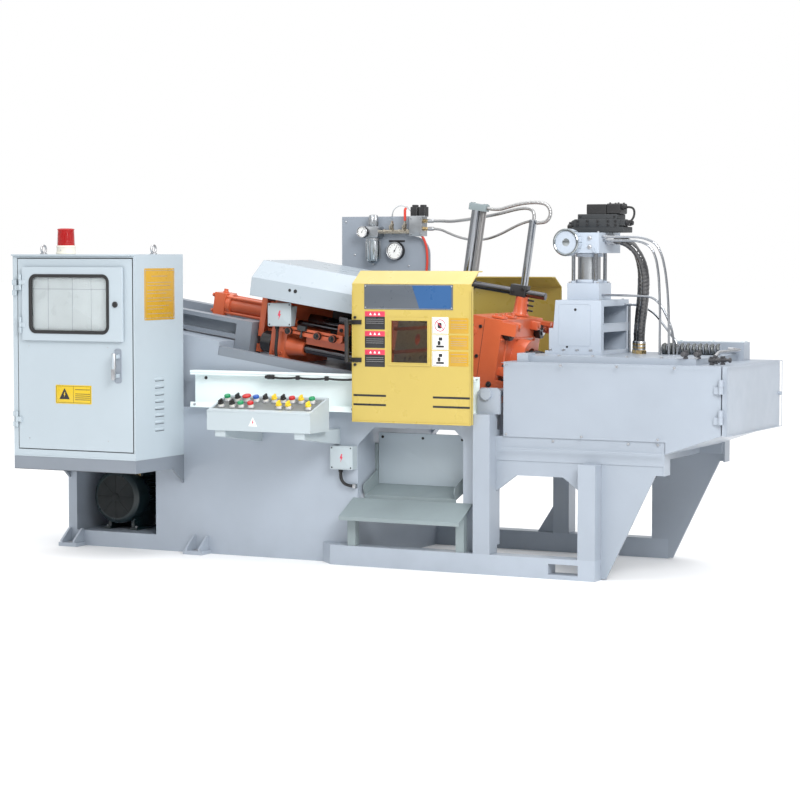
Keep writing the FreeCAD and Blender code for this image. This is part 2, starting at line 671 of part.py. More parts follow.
def build_console():
    front = -D.console_front
    back = -D.console_back
    low = D.console_low
    top_front = low + D.console_front_height
    top_back = low + D.console_back_height
    x = (D.console_left, D.console_left + D.console_length)
    shell = prism("console_shell",
                  "YZ", [[(front, low), (back, low), (back, top_back), (front, top_front)]], *x)
    rim = D.console_rim
    sink = D.console_sink
    tray = prism("console_tray", "YZ", [[
        (front + 2 * rim, top_front + 2 * rim * (top_back - top_front) / (back - front) - sink),
        (back - rim, top_back - rim * (top_back - top_front) / (back - front) - sink),
        (back - rim, top_back + 40), (front + 2 * rim, top_back + 40),
    ]], x[0] + rim, x[1] - rim)
    top = cut("console_top", shell, tray)
    def arm(left):
        outline = [(-HALF_WIDTH, D.arm_root), (-HALF_WIDTH, low), (front + 10, low), (front + 10, D.arm_tip)]
        return prism("console_arm", "YZ", [outline[::-1]], left, left + D.arm_width)
    keep(fuse("control_console", top, arm(x[0] + D.arm_left), arm(x[0] + D.arm_right)), "control_console")


def guard_profile(side, bend, top):
    """Folded sheet seen from its end: upright, bevel and top lip."""
    face = D.guard_face
    sheet = D.guard_sheet
    corner = face - D.guard_bevel
    edge = corner - D.guard_lip
    outline = [(face, D.guard_low), (face, bend), (corner, top), (edge, top),
               (edge, top - sheet), (corner + sheet / 3, top - sheet), (face - sheet, bend - sheet / 2),
               (face - sheet, D.guard_low)]
    return [(side * size(y), z) for y, z in outline]


def build_front_door():
    x = (D.guard_left, D.guard_left + D.guard_width)
    sheet = D.guard_sheet
    face = -D.guard_face
    folded = prism("door_sheet", "YZ", [guard_profile(-1, D.guard_bend, D.guard_top)], *x)
    border = D.window_border
    window_x = (D.window_left, D.window_left + D.window_width)
    window_z = (D.window_low, D.window_low + D.window_height)
    frame = box("window_frame", (window_x[0] - border, window_x[1] + border),
                (face - D.window_raise, face + 1),
                (window_z[0] - border, window_z[1] + border))
    opening = box("window_opening", window_x, (face - D.window_raise - 1, face + sheet + 1), window_z)
    flanges = [box("door_flange", span_x, (face + sheet - 1, face + D.guard_flange),
                   (D.guard_low, D.guard_bend - 12))
               for span_x in ((x[0], x[0] + sheet), (x[1] - sheet, x[1]))]
    carriers = []
    rail_top = D.door_rail_high + D.fit_gap
    rail_face = -(HALF_WIDTH + D.door_rail_depth)
    for left in (x[0] + 60, x[1] - 120):
        carriers.append(box("carrier_arm", (left, left + 60), (face + sheet - 1, rail_face + 45),
                            (rail_top + D.roller_radius, rail_top + D.roller_radius + 14)))
        carriers.append(rod("carrier_roller", "y", (left + 30, rail_top + D.roller_radius), D.roller_radius,
                            rail_face + 6, rail_face + 45))
    body = cut("door_cut", fuse("door_fold", folded, frame, *flanges), opening)
    keep(fuse("front_door", body, *carriers), "front_door")
    pane = box("window_pane", (window_x[0] - 6, window_x[1] + 6),
               (face + sheet, face + sheet + D.glass_thick),
               (window_z[0] - 6, window_z[1] + 6))
    keep(pane, "door_window")


def build_door_handle():
    radius = D.handle_radius
    face = -D.guard_face
    x = D.guard_left + 6 - radius
    y = face - D.handle_out
    low, high = D.handle_low, D.handle_high
    bar = rod("handle_bar", "z", (x, y), radius, low, high)
    legs = [rod("handle_leg", "y", (x, z), radius, y, face) for z in (low + radius, high - radius)]
    straps = [box("handle_foot", (x - radius, x + 58), (face - 6, face), (z - radius, z + radius))
              for z in (low + radius, high - radius)]
    keep(fuse("door_handle", bar, *legs, *straps), "door_handle")


def build_rear_guard():
    x = (D.guard_left, D.guard_left + D.guard_width - 10)
    profile = guard_profile(1, D.rear_guard_bend, D.rear_guard_top)
    folded = prism("rear_sheet", "YZ", [profile[::-1]], *x)
    outer = HALF_WIDTH + D.door_rail_depth
    feet = [box("rear_bracket", (left, left + 60), (outer - 45, D.guard_face - D.guard_sheet + 1),
                (D.door_rail_high, D.door_rail_high + 14)) for left in (x[0] + 60, x[1] - 120)]
    keep(fuse("rear_guard", folded, *feet), "rear_guard")


# ---------------------------------------------------------------- furnace frame and furnace

def build_skid_tubes():
    def one(side):
        outline = [(D.tube_left, TUBE_OUTER), (D.tube_right, TUBE_OUTER), (D.tube_right, HALF_WIDTH),
                   (D.tube_left - D.tube_depth, HALF_WIDTH)]
        outline = [(x, side * y) for x, y in outline]
        if side > 0:
            outline.reverse()
        bar = prism("skid_bar", "XY", [outline], 0, D.tube_height)
        if side > 0:
            return bar
        pocket = box("fork_pocket", (D.pocket_left, D.pocket_left + D.pocket_width),
                     span(side, HALF_WIDTH - 1, TUBE_OUTER + 1),
                     (D.pocket_low, D.pocket_low + D.pocket_height))
        return cut("skid_side", bar, pocket)
    keep(group("skid_tubes", *both_sides(one)), "skid_tubes")


def build_furnace_frame():
    """Posts, beams and cross members, welded into one frame."""
    parts = []
    for side in (-1, 1):
        posts_y = span(side, HALF_WIDTH, TUBE_OUTER)
        parts.append(box("post_a", (D.post_a, D.post_a + D.post_width), posts_y,
                         (D.tube_height, D.post_a_height)))
        parts.append(box("post_b", (D.post_b, D.post_b + D.post_width), posts_y, (D.tube_height, D.beam_low)))
        beam_y = span(side, D.beam_face - D.beam_depth, D.beam_face)
        parts.append(box("beam", (D.post_a + D.post_width, D.beam_right), beam_y, (D.beam_low, D.beam_high)))
        link_y = span(side, HALF_WIDTH - D.link_thick, HALF_WIDTH + 2)
        link_low = 140 if side < 0 else D.recess_top - D.recess_corner + 4
        parts.append(box("base_link", (HALF_LENGTH, D.post_a + D.post_width), link_y,
                         (link_low, D.base_height - 60)))
    reach = D.beam_face - D.beam_depth + 1
    for left in (D.post_a + D.post_width, D.beam_right - D.cross_width - 120):
        parts.append(box("cross_member", (left, left + D.cross_width), (-reach, reach),
                         (D.beam_low, D.beam_high)))
    keep(fuse("furnace_frame", *parts, *platen_ear()), "furnace_frame")


def build_frame_gussets():
    def one(side):
        y = span(side, HALF_WIDTH, HALF_WIDTH + D.gusset_thick)
        left = D.post_a + D.post_width
        arch = prism("corbel_plate", "XZ", [[
            (left, D.beam_low), (left, D.corbel_low), (left + D.corbel_run, D.corbel_top),
            (D.post_b - D.corbel_run, D.corbel_top), (D.post_b, D.corbel_low), (D.post_b, D.beam_low),
        ]], *y)
        foot = D.post_b + D.post_width
        wing = prism("wing_plate", "XZ", [[
            (foot, D.beam_low), (foot, 5), (foot + D.gusset_foot, 5),
            (D.beam_right - D.gusset_step, D.beam_low - D.gusset_lip),
            (D.beam_right, D.beam_low - D.gusset_lip), (D.beam_right, D.beam_low),
        ]], *y)
        cap = box("wing_cap", (D.beam_right, D.beam_right + 8), span(side, D.beam_face - 75, D.beam_face),
                  (D.beam_low - D.gusset_lip, D.beam_high))
        return [arch, fuse("wing", wing, cap)]
    brace = prism("rear_brace", "XZ", [[
        (D.post_a, D.tube_height), (D.post_a, D.tube_height + 150), (D.post_a - 95, D.tube_height),
    ]], HALF_WIDTH + 20, HALF_WIDTH + 34)
    front, rear = both_sides(one)
    keep(group("frame_gussets", *front, *rear, brace), "frame_gussets")


def platen_ear():
    """The plate on the post head with the pin that steadies the fixed platen."""
    left = D.ear_left
    low = D.post_a_height
    high = low + D.ear_height
    face = -(HALF_WIDTH + 28)
    plate = prism("ear_plate", "XZ", [[
        (left, low), (left + D.ear_width, low), (left + D.ear_width, high - 18),
        (left + D.ear_width - 18, high),
        (left + 22, high), (left, high - 22),
    ]], face, face + D.ear_thick)
    centre = (left + 51, low + 98)
    boss = rod("ear_boss", "y", centre, D.ear_pin, face - 16, face + 1)
    pin = rod("ear_pin", "y", centre, D.ear_pin - 9, face, -D.platen_half_width)
    return [plate, boss, pin]


FURNACE_END = D.furnace_right - D.furnace_door_thick - D.run_gap - 1
FURNACE_AXIS = (D.furnace_right - D.furnace_door_thick - 3, -D.furnace_front - D.furnace_hinge)


def furnace_hinges():
    """Two long barrel hinges: the lower half stays, the upper half turns with the door."""
    fixed = []
    moving = []
    x, y = FURNACE_AXIS
    for low in (D.furnace_rise + 55, D.furnace_top_level - 130):
        split = low + 34
        fixed.append(rod("furnace_knuckle_low", "z", (x, y), D.furnace_hinge, low, split))
        fixed.append(box("furnace_leaf_low", (x - 34, x), (y, -D.furnace_front), (low, split)))
        moving.append(rod("furnace_knuckle_high", "z", (x, y), D.furnace_hinge, split + D.fit_gap, low + 68))
        moving.append(box("furnace_leaf_high", (x, x + 12), (y, -D.furnace_front + 1),
                          (split + D.fit_gap, low + 68)))
    return fixed, moving


def build_furnace_box():
    y = (-D.furnace_front, D.furnace_back)
    left, right = D.furnace_left, FURNACE_END
    drop_x = D.beam_right + 12
    outer = prism("furnace_outer", "XZ", [[
        (left, D.beam_high), (drop_x, D.beam_high), (drop_x, D.furnace_drop),
        (right, D.furnace_rise), (right, D.furnace_top_level), (left, D.furnace_top_level),
    ]], *y)
    wall = D.furnace_wall
    bay = box("furnace_bay", (right - D.furnace_bay, right + 1), (y[0] + wall, y[1] - wall),
              (D.furnace_rise + wall, D.furnace_top_level - wall))
    keep(fuse("furnace_box", cut("furnace_shell", outer, bay), *furnace_hinges()[0]), "furnace_box")


def build_furnace_door():
    x = (D.furnace_right - D.furnace_door_thick, D.furnace_right)
    panel = box("furnace_panel", x, (-D.furnace_front, D.furnace_back), (D.furnace_rise, D.furnace_top_level))
    latch = rod("furnace_latch", "x", (D.furnace_back - 18, D.furnace_rise + 165), 9, x[1] - 1, x[1] + 14)
    keep(fuse("furnace_door", panel, latch, *furnace_hinges()[1]), "furnace_door")


def build_furnace_cover():
    """Raised cover plate with the gas box and the burner coil that lie on it."""
    level = D.furnace_top_level
    top = level + D.cover_thick
    plate = box("cover_plate", (D.cover_left, D.cover_right), (-D.cover_front, D.cover_back), (level, top))
    gas_y = (D.gas_box_front, D.gas_box_front + D.gas_box_depth)
    gas_box = box("gas_box", (D.gas_box_left, D.gas_box_right), gas_y, (level, level + D.gas_box_height))
    coil = rod("burner_coil", "x", (D.coil_y, top + D.coil_radius - 2), D.coil_radius, D.coil_left,
               D.coil_right)
    block = box("nozzle_rest", (D.cover_left, D.cover_left + 58), (-D.cover_front - 30, -D.cover_front + 60),
                (level, level + 42))
    keep(fuse("furnace_cover", plate, gas_box, coil, block), "furnace_cover")


COVER_TOP = D.furnace_top_level + D.cover_thick


def build_injection_stand():
    """Cast stand with two windows through it from side to side."""
    left, right = D.stand_left, D.stand_right
    step = D.stand_step
    foot = D.stand_step_out
    outline = [
        (left - foot, COVER_TOP), (right, COVER_TOP), (right, D.stand_top), (left, D.stand_top),
        (left - foot / 3, step), (left - foot, step),
    ]
    body = prism("stand_body", "XZ", [outline], -D.stand_half, D.stand_half)
    wall = D.stand_wall
    window_y = (-D.stand_half + wall, D.stand_half - wall)
    upper = box("stand_window_high", (left + wall, right + 1), window_y, (step + 20, D.stand_top - wall))
    lower = box("stand_window_low", (left + wall, right + 1), window_y, (COVER_TOP + 14, step - 14))
    toe = box("stand_toe", (left - D.stand_foot, right + 8), (-D.stand_half - 12, D.stand_half + 12),
              (COVER_TOP, COVER_TOP + 16))
    keep(fuse("injection_stand", cut("stand_cut", body, upper, lower), toe), "injection_stand")


def build_shot_cylinder():
    low = D.stand_top
    block_top = low + D.flange_height
    flange = box("shot_flange", (D.flange_left, D.flange_right), (-D.flange_half, D.flange_half),
                 (low, block_top))
    tube = rod("shot_tube", "z", (D.shot_x, 0), D.shot_radius, block_top - 1, D.shot_top)
    reach = D.tie_rod_reach
    rods = [rod("shot_tie_rod", "z", (D.shot_x + a * reach, b * reach), D.tie_rod_radius, block_top - 1,
                D.shot_top)
            for a in (-1, 1) for b in (-1, 1)]
    keep(fuse("shot_cylinder", flange, tube, *rods), "shot_cylinder")


MANIFOLD_TOP = D.shot_top + D.manifold_height


def build_shot_manifold():
    front = -D.manifold_half
    block = box("manifold_block", (D.manifold_left, D.manifold_right), (front, D.manifold_half),
                (D.shot_top, MANIFOLD_TOP))
    cap = rod("manifold_cap", "y", (D.cap_x, D.shot_top + D.cap_height), D.cap_radius,
              front - D.cap_length, front + 1)
    keep(fuse("shot_manifold", block, cap), "shot_manifold")


def build_shot_valves():
    low = MANIFOLD_TOP
    half = D.valve_half
    top = low + D.valve_height
    body = box("main_valve", (D.valve_left, D.valve_right), (-half, half), (low, top))
    knob = rod("valve_knob", "x", (0, low + 30), 15, D.valve_left - 42, D.valve_left + 1)
    pilot = box("pilot_valve", (D.pilot_left, D.pilot_right), (-half + 12, half - 12),
                (top, top + D.pilot_height))
    keep(fuse("shot_valves", body, knob, pilot), "shot_valves")


# ---------------------------------------------------------------- clamp unit, in the clamp frame

BAR_CENTRES = [(y, n) for y in (-D.bar_y, D.bar_y) for n in (-D.bar_n, D.bar_n)]


def build_tie_bars():
    bars = []
    for centre in BAR_CENTRES:
        bar = rod("tie_bar", "x", centre, D.bar_radius, -D.bar_start, D.bar_end)
        nut = rod("tie_nut", "x", centre, D.nut_radius, -D.tail_start - D.nut_length, -D.tail_start)
        end_nut = rod("tie_end_nut", "x", centre, D.end_nut_radius, D.fixed_end,
                      D.fixed_end + D.end_nut_length)
        bars.append(fuse("tie_bar_set", bar, nut, end_nut))
    keep_sloped(group("tie_bars", *bars), "tie_bars")


def bar_holes(name, low, high, gap):
    return [rod(name, "x", centre, D.bar_radius + gap, low, high) for centre in BAR_CENTRES]


def build_tail_stock():
    start, end = -D.tail_start, D.tail_end
    body = box("tail_body", (start, end), (-D.tail_half_width, D.tail_half_width),
               (-D.bed_drop_low, D.tail_top))
    horns = [taper("tail_horn", "x", centre, D.horn_big, D.horn_small, end - 1, end + D.horn_length)
             for centre in BAR_CENTRES]
    stays = [box("hood_stay",
                 (start, end), (y - 12, y + 12), (D.tail_top - 1, D.hood_stay)) for y in (-120, 120)]
    solid = fuse("tail_solid", body, *horns, *stays)
    holes = bar_holes("tail_hole", start - 1, end + D.horn_length + 1, D.seat_gap)
    ram_hole = rod("tail_ram_hole", "x", (0, 0), D.ram_radius + D.fit_gap, start - 1, end + 1)
    keep_sloped(cut("tail_stock", solid, *holes, ram_hole), "tail_stock")


def build_clamp_cylinder():
    """Cylinder with square rear cap and tie rods, on a plate that four struts hold off the tail stock."""
    plate_start = -D.plate_start
    plate_end = plate_start + D.plate_thick
    plate = box("cylinder_plate", (plate_start, plate_end), (-D.plate_half_width, D.plate_half_width),
                (-D.plate_low, D.plate_top))
    struts = [rod("strut", "x", (y, n), D.strut_radius, plate_end - 1, -D.tail_start)
              for y in (-D.strut_y, D.strut_y) for n in (-D.strut_n, D.strut_n)]
    barrel = rod("barrel", "x", (0, 0), D.barrel_radius, -D.barrel_start, plate_start + 1)
    half = D.cap_block
    cap_start = -D.barrel_start - D.cap_block_length
    cap = box("rear_cap", (cap_start, -D.barrel_start), (-half, half), (-half, half))
    head = box("front_head", (plate_start - 40, plate_start + 1), (-half, half), (-half, half))
    reach = D.barrel_rod_reach
    rods = [rod("barrel_rod", "x", (a * reach, b * reach), D.barrel_rod_radius, cap_start - 8, plate_start)
            for a in (-1, 1) for b in (-1, 1)]
    solid = fuse("cylinder_solid", plate, *struts, barrel, cap, head, *rods)
    bore = rod("cylinder_bore", "x", (0, 0), D.ram_radius + D.piston_gap, -D.barrel_start, plate_end + 1)
    holes = [rod("plate_hole", "x", centre, D.bar_radius + D.seat_gap, plate_start - 1, plate_end + 1)
             for centre in BAR_CENTRES if centre[1].value < 0]
    keep_sloped(cut("clamp_cylinder", solid, bore, *holes), "clamp_cylinder")


def build_moving_platen():
    start, face = D.moving_start, D.moving_face
    half_width, half_height = D.platen_half_width, D.platen_half_height
    body = box("moving_body", (start, face), (-half_width, half_width), (-half_height, half_height))
    tools = bar_holes("moving_hole", start - 1, face + 1, D.fit_gap)
    tools.append(rod("moving_centre", "x", (0, 0), D.centre_hole, face - 60, face + 1))
    for n in (-D.slot_n, D.slot_n):
        tools.append(box("die_slot", (face - D.slot_depth, face + 1), (-half_width - 1, half_width + 1),
                         (n - D.slot_width / 2, n + D.slot_width / 2)))
    keep_sloped(cut("moving_platen", body, *tools), "moving_platen")


def build_clamp_ram():
    rod_part = rod("ram_rod", "x", (0, 0), D.ram_radius, -D.ram_start, D.crosshead_start + 1)
    head = box("crosshead", (D.crosshead_start, D.crosshead_end),
               (-D.crosshead_half_width, D.crosshead_half_width),
               (-D.crosshead_half_height, D.crosshead_half_height))
    pusher = box("pusher", (D.crosshead_end - 1, D.moving_start), (-D.pusher_half_width, D.pusher_half_width),
                 (-D.pusher_half_height, D.pusher_half_height))
    keep_sloped(fuse("clamp_ram", rod_part, head, pusher), "clamp_ram")


def build_fixed_platen():
    start, seam, end = D.fixed_start, D.fixed_seam, D.fixed_end
    half = D.platen_half_width
    y = (-half, half)
    body = box("fixed_body", (start, seam), y, (-D.bed_drop_low, D.fixed_top))
    rear = box("fixed_rear", (seam - 1, end), y, (-D.bed_drop_low, D.fixed_top - 2))
    arch = rod("fixed_arch", "x", (0, 0), D.arch_radius, end - 1, end + D.arch_length)
    lugs = []
    for side in (-1, 1):
        for n in (D.fixed_top - 12 - D.lug_height, D.lug_height - D.bed_drop_low):
            width = span(side, half - D.lug_width, half)
            lug = box("lug", (end - 1, end + D.lug_length), width, (n, n + D.lug_height))
            notch = box("lug_notch", (end + 20, end + D.lug_length + 1),
                        span(side, half - D.lug_width / 2 - D.lug_gap / 2,
                             half - D.lug_width / 2 + D.lug_gap / 2),
                        (n - 1, n + D.lug_height + 1))
            lugs.append(cut("lug_fork", lug, notch))
    solid = fuse("fixed_solid", body, rear, arch, *lugs)
    holes = bar_holes("fixed_hole", start - 1, end + 1, D.seat_gap)
    nut_room = bar_holes("fixed_nut_room", end, end + D.lug_length + 2, D.end_nut_radius - D.bar_radius + 1)
    bore = rod("fixed_bore", "x", (0, 0), D.fixed_bore, start - 1, end + D.arch_length + 1)
    keep_sloped(cut("fixed_platen", solid, *holes, *nut_room, bore), "fixed_platen")


def build_limit_bar():
    """Slotted switch bar with three clamping knobs, held off the tail stock."""
    start, end = D.limit_start, D.limit_end
    face = -D.tail_half_width - D.limit_out
    top = -D.limit_top
    low = top - D.limit_height
    bar = box("limit_plate", (start, end), (face, face + D.limit_thick), (low, top))
    slot = box("limit_slot", (start + 20, end - 20), (face - 1, face + D.limit_thick + 1),
               (low + 15, low + 21))
    foot = box("limit_foot", (start, D.tail_end - 1), (face + D.limit_thick - 1, -D.tail_half_width),
               (low, top))
    knobs = [rod("limit_knob", "y", (s, low + 11), D.knob_radius, face - D.knob_length, face)
             for s in (start + 60, start + 232, start + 322)]
    shelf_start = D.tail_end + D.horn_length + 6
    shelf = box("limit_shelf", (shelf_start, end - 6), (face, face + 60), (low - 6, low + 1))
    apron = box("limit_apron", (shelf_start, end - 6), (face + 54, face + 60), (low - 48, low))
    keep_sloped(fuse("limit_bar", cut("limit_slotted", bar, slot), foot, shelf, apron, *knobs), "limit_bar")


def hood_outline(shrink, top, lower_by):
    """Half-octagon outline of the hood, made smaller all round by shrink."""
    half, flat = D.hood_half - shrink, D.hood_top_half - shrink * 0.5
    low = D.hood_low - lower_by
    fold = D.hood_fold - shrink * 0.4
    return [(-half, low), (half, low), (half, fold), (flat, top), (-flat, top), (-half, fold)]


def build_hood():
    sheet = D.hood_sheet
    outer = prism("hood_outer", "YZ", [hood_outline(size(0), D.hood_top, 0)], -D.hood_start, D.hood_end)
    inner = prism("hood_inner", "YZ", [hood_outline(sheet, D.hood_top - sheet, 1)], sheet - D.hood_start,
                  D.hood_end + 1)
    keep_sloped(cut("clamp_hood", outer, inner), "clamp_hood")


def build_junction_boxes():
    """One box on the tail stock, laid on the slope, and one on the front of the base."""
    face = -D.tail_half_width
    upper = lay_on_slope(group("clamp_junction_box", box("clamp_box", (-45, 78), (face - 62, face),
                                                         (2.5 - D.limit_top, 80))))
    lower = box("base_junction_box", (D.recess_left - 130, D.recess_left - 4),
                (-HALF_WIDTH - 46, -HALF_WIDTH),
                (D.box_low, D.box_low + 117))
    keep(group("junction_boxes", upper, lower), "junction_boxes")


# ---------------------------------------------------------------- air panel, spray gear and chute

def build_air_panel():
    y = (D.panel_back - D.panel_thick, D.panel_back)
    curve = D.panel_curve
    high = D.panel_top
    shoulder = D.panel_shoulder
    corners = [(D.panel_left, D.door_rail_high), (D.panel_right, D.door_rail_high)]
    turns = 6
    for i in range(turns + 1):
        angle = math.radians(90 * i / turns)
        corners.append((shoulder + curve * math.cos(angle), high - 108 - curve + curve * math.sin(angle)))
    corners += [(shoulder, high), (D.panel_left, high)]
    plate = prism("air_plate", "XZ", [corners], *y)
    foot = box("air_foot", (D.panel_left, D.panel_right), (y[1] - 1, y[1] + 36),
               (D.door_rail_high, D.door_rail_high + 8))
    keep(fuse("air_panel_sheet", plate, foot), "air_panel")


def build_air_set():
    """Filter with its bowl and gauge, brass manifold, dial gauge and valve block on the air panel."""
    face = D.panel_back - D.panel_thick
    top = D.panel_top
    left = D.panel_left
    head = box("filter_head", (left + 179, left + 259), (face - 76, face), (top - 118, top - 52))
    knob = rod("filter_knob", "z", (left + 215, face - 40), 27, top - 53, top + 10)
    bowl = rod("filter_bowl", "z", (left + 213, face - 41), 40, top - 256, top - 117)
    small_gauge = rod("filter_gauge", "y", (left + 168, top - 84), 32, face - 90, face - 58)
    link = box("gauge_link", (left + 168, left + 189), (face - 66, face - 50), (top - 92, top - 76))
    manifold = box("brass_manifold", (left + 258, D.panel_shoulder + 11), (face - 52, face - 22),
                   (top - 94, top - 72))
    strip = box("manifold_back", (left + 319, left + 349), (face - 23, face), (top - 94, top - 72))
    taps = [rod("tap", "z", (left + x, face - 37), 13, top - 73, top - 8) for x in (327, 405)]
    gauge = rod("dial_gauge", "y", (left + 338, top - 186), 49, face - 34, face)
    block_left = D.panel_shoulder
    block = box("valve_block", (block_left, block_left + 76), (face - 60, face + 8), (top - 108, top + 1))
    solenoids = [box("solenoid", (x, x + 44), (face - 52, face - 8), (top, top + 62))
                 for x in (block_left + 3, block_left + 51)]
    taper_fittings = [rod("block_fitting", "x", (face - 32, top - drop), 11, block_left + 75,
                          block_left + 104)
                      for drop in (26, 68)]
    filter_set = fuse("filter_set", head, knob, bowl, small_gauge, link, manifold, strip, *taps, gauge)
    keep(group("air_sets", filter_set, fuse("solenoid_block", block, *solenoids, *taper_fittings)), "air_set")


def build_spray_rods():
    """Pedestal on the fixed platen, cross rod, upright rod and their two clamps."""
    s, y = D.pedestal_s, D.pedestal_y
    base = D.fixed_top
    top = base + D.pedestal_height
    rod_n = D.cross_rod_n
    pedestal = rod("pedestal", "z", (s, y), D.pedestal_radius, base, top + 1)
    half = D.clamp_block / 2
    clamp = box("rod_clamp", (s - 62, s + half), (y - half - 8, y + half), (top, rod_n + half + 12))
    cross = rod("cross_rod", "x", (y - 6, rod_n), D.rod_radius, D.cross_rod_start + 10, D.cross_rod_end)
    mast = rod("mast", "z", (s, y), D.rod_radius, rod_n, D.mast_top)
    clamp_end = box("end_clamp", (D.cross_rod_start - half, D.cross_rod_start + half + 18),
                    (y - 6 - half, y - 6 + half), (rod_n - half, rod_n + half))
    return fuse("spray_rods", pedestal, clamp, cross, mast, clamp_end)


def build_spray_column():
    s, y = D.column_s - 18, D.pedestal_y - 6
    low = D.cross_rod_n + D.clamp_block / 2
    tube = rod("column_tube", "z", (s, y), D.column_radius, low, D.column_top)
    cap = box("column_cap", (s - 34, s + 62), (y - 26, y + 26),
              (D.column_top - 1, D.column_top + D.column_cap))
    hose = rod("column_hose", "z", (s + 42, y), 17, low + 20, D.column_top)
    return fuse("spray_column", tube, cap, hose)


def build_spray_stand():
    keep_sloped(group("spray_stand", build_spray_rods(), build_spray_column()), "spray_stand")


def build_nozzle():
    """Nozzle on the clamp axis, from the bore of the fixed platen to the furnace wall."""
    turn = FreeCAD.Rotation(Vector(0, 1, 0), 90 + D.incline.value)
    def lay(item, s):
        item.Placement = FreeCAD.Placement(Vector(), turn)
        bind(item, "Placement.Rotation.Angle", 90 + D.incline)
        set_base(item, sloped_x(s, 0), 0, sloped_z(s, 0))
        return item
    wall_at = (D.furnace_left - D.clamp_origin) / cosine(D.incline)
    barrel = doc.addObject("Part::Cylinder", "nozzle_barrel")
    bind(barrel, "Radius", D.nozzle_radius)
    bind(barrel, "Height", wall_at + 20 - D.fixed_seam)
    tip = doc.addObject("Part::Cone", "nozzle_tip")
    bind(tip, "Radius1", D.nozzle_radius / 3)
    bind(tip, "Radius2", D.nozzle_radius)
    bind(tip, "Height", D.fixed_seam - D.fixed_start)
    collar = doc.addObject("Part::Cylinder", "nozzle_collar")
    bind(collar, "Radius", D.nozzle_radius + D.collar_rim)
    bind(collar, "Height", D.collar_length + 20)
    solid = fuse("nozzle_solid", lay(barrel, D.fixed_seam - 1), lay(tip, D.fixed_start),
                 lay(collar, wall_at - D.collar_length))
    wall = box("nozzle_wall", (D.furnace_left, D.furnace_left + 400), (-200, 200),
               (D.beam_high, D.cabinet_top))
    keep(cut("nozzle_cut", solid, wall), "nozzle")


def build_casting_chute():
    """Sheet-metal chute: upright back panel, side cheeks and two sloping trays on legs."""
    left, right = D.recess_left, D.recess_right
    sheet = D.chute_sheet
    back = -D.chute_back
    inner = (left + 16, right - 69)
    high = D.chute_bottom
    panel = box("chute_panel", inner, (back, back + sheet), (high, D.chute_top))
    stile = box("chute_stile", (left, left + 16), (back - 12, back + 12), (high - 50, D.chute_top - 55))
    front = -D.chute_front
    fall = size(46)
    tray = [(back + sheet, high), (back + sheet, high + sheet), (front, high - fall + sheet),
            (front - sheet, high - fall + sheet), (front - sheet, high - fall - 28),
            (front, high - fall - 28),
            (front, high - fall)]
    upper = prism("upper_tray", "YZ", [tray], left + 11, inner[1] + sheet)
    cheek = [(back + sheet, high), (back + sheet, high + 84), (front - 16, high + 14),
             (front - 22, high - 14),
             (front, high - fall)]
    cheeks = [prism("chute_cheek", "YZ", [cheek], x, x + sheet) for x in (left + 11, inner[1])]
    wing = box("chute_wing", (inner[1], right), (back, back + sheet), (high - 50, high + 60))
    inside = fuse("chute_inside", panel, stile, upper, wing, *cheeks)

    wide = (left - 26, D.post_a - 42)
    rear = -HALF_WIDTH
    near = rear - 156
    top, low = D.tray_high, D.tray_low
    slope = [(rear, top), (rear, top + sheet), (near, low + sheet), (near, low - 14),
             (near + sheet, low - 14),
             (near + sheet, low)]
    plate = prism("lower_tray", "YZ", [slope], *wide)
    drop = (top - low) / (156 - sheet)
    leg_front, leg_back = -TUBE_OUTER + 8, -TUBE_OUTER + 48
    leg = [(leg_front, D.tube_height), (leg_back, D.tube_height), (leg_back, top + (leg_back - rear) * drop),
           (leg_front, top + (leg_front - rear) * drop)]
    legs = [prism("tray_leg", "YZ", [leg], x, x + 45) for x in (wide[0] + 10, wide[1] - 55)]
    keep(group("casting_chute", inside, fuse("tray_on_legs", plate, *legs)), "casting_chute")


# ---------------------------------------------------------------- hoses and pipes

def tube_along(name, points, radius):
    """A round tube on straight runs joined by tangent arcs, each arc as large as its runs allow."""
    corners = [Vector(*point) for point in points]
    edges = []
    bends = []
    start = corners[0]
    for before, here, after in zip(corners, corners[1:], corners[2:]):
        back = (before - here).normalize()
        ahead = (after - here).normalize()
        reach = 0.45 * min((before - here).Length, (after - here).Length)
        enter = here + back * reach
        leave = here + ahead * reach
        half_turn = (math.pi - back.getAngle(ahead)) / 2
        middle_line = (back + ahead).normalize()
        bend = reach / math.tan(half_turn)
        bends.append(bend)
        top = here + middle_line * (bend / math.cos(half_turn) - bend)
        edges.append(Part.LineSegment(start, enter).toShape())
        edges.append(Part.Arc(enter, top, leave).toShape())
        start = leave
    edges.append(Part.LineSegment(start, corners[-1]).toShape())
    path = Part.Wire(edges)
    heading = (corners[1] - corners[0]).normalize()
    ring_wire = Part.Wire(Part.Circle(corners[0], heading, radius).toShape())
    solid = path.makePipeShell([ring_wire], True, True)
    expected = math.pi * radius ** 2 * path.Length
    if abs(solid.Volume - expected) > 0.02 * expected:
        raise RuntimeError(f"{name}: volume {solid.Volume:.0f}, expected {expected:.0f}")
    print(f"{name}: radius {radius} mm, bend radii", ", ".join(f"{bend:.0f}" for bend in bends), "mm")
    item = doc.addObject("Part::Feature", name)
    item.Shape = solid
    return item


def route(start, steps):
    """Points of a route, each given from the same start."""
    return [(start[0].value + x, start[1].value + y, start[2].value + z) for x, y, z in steps]


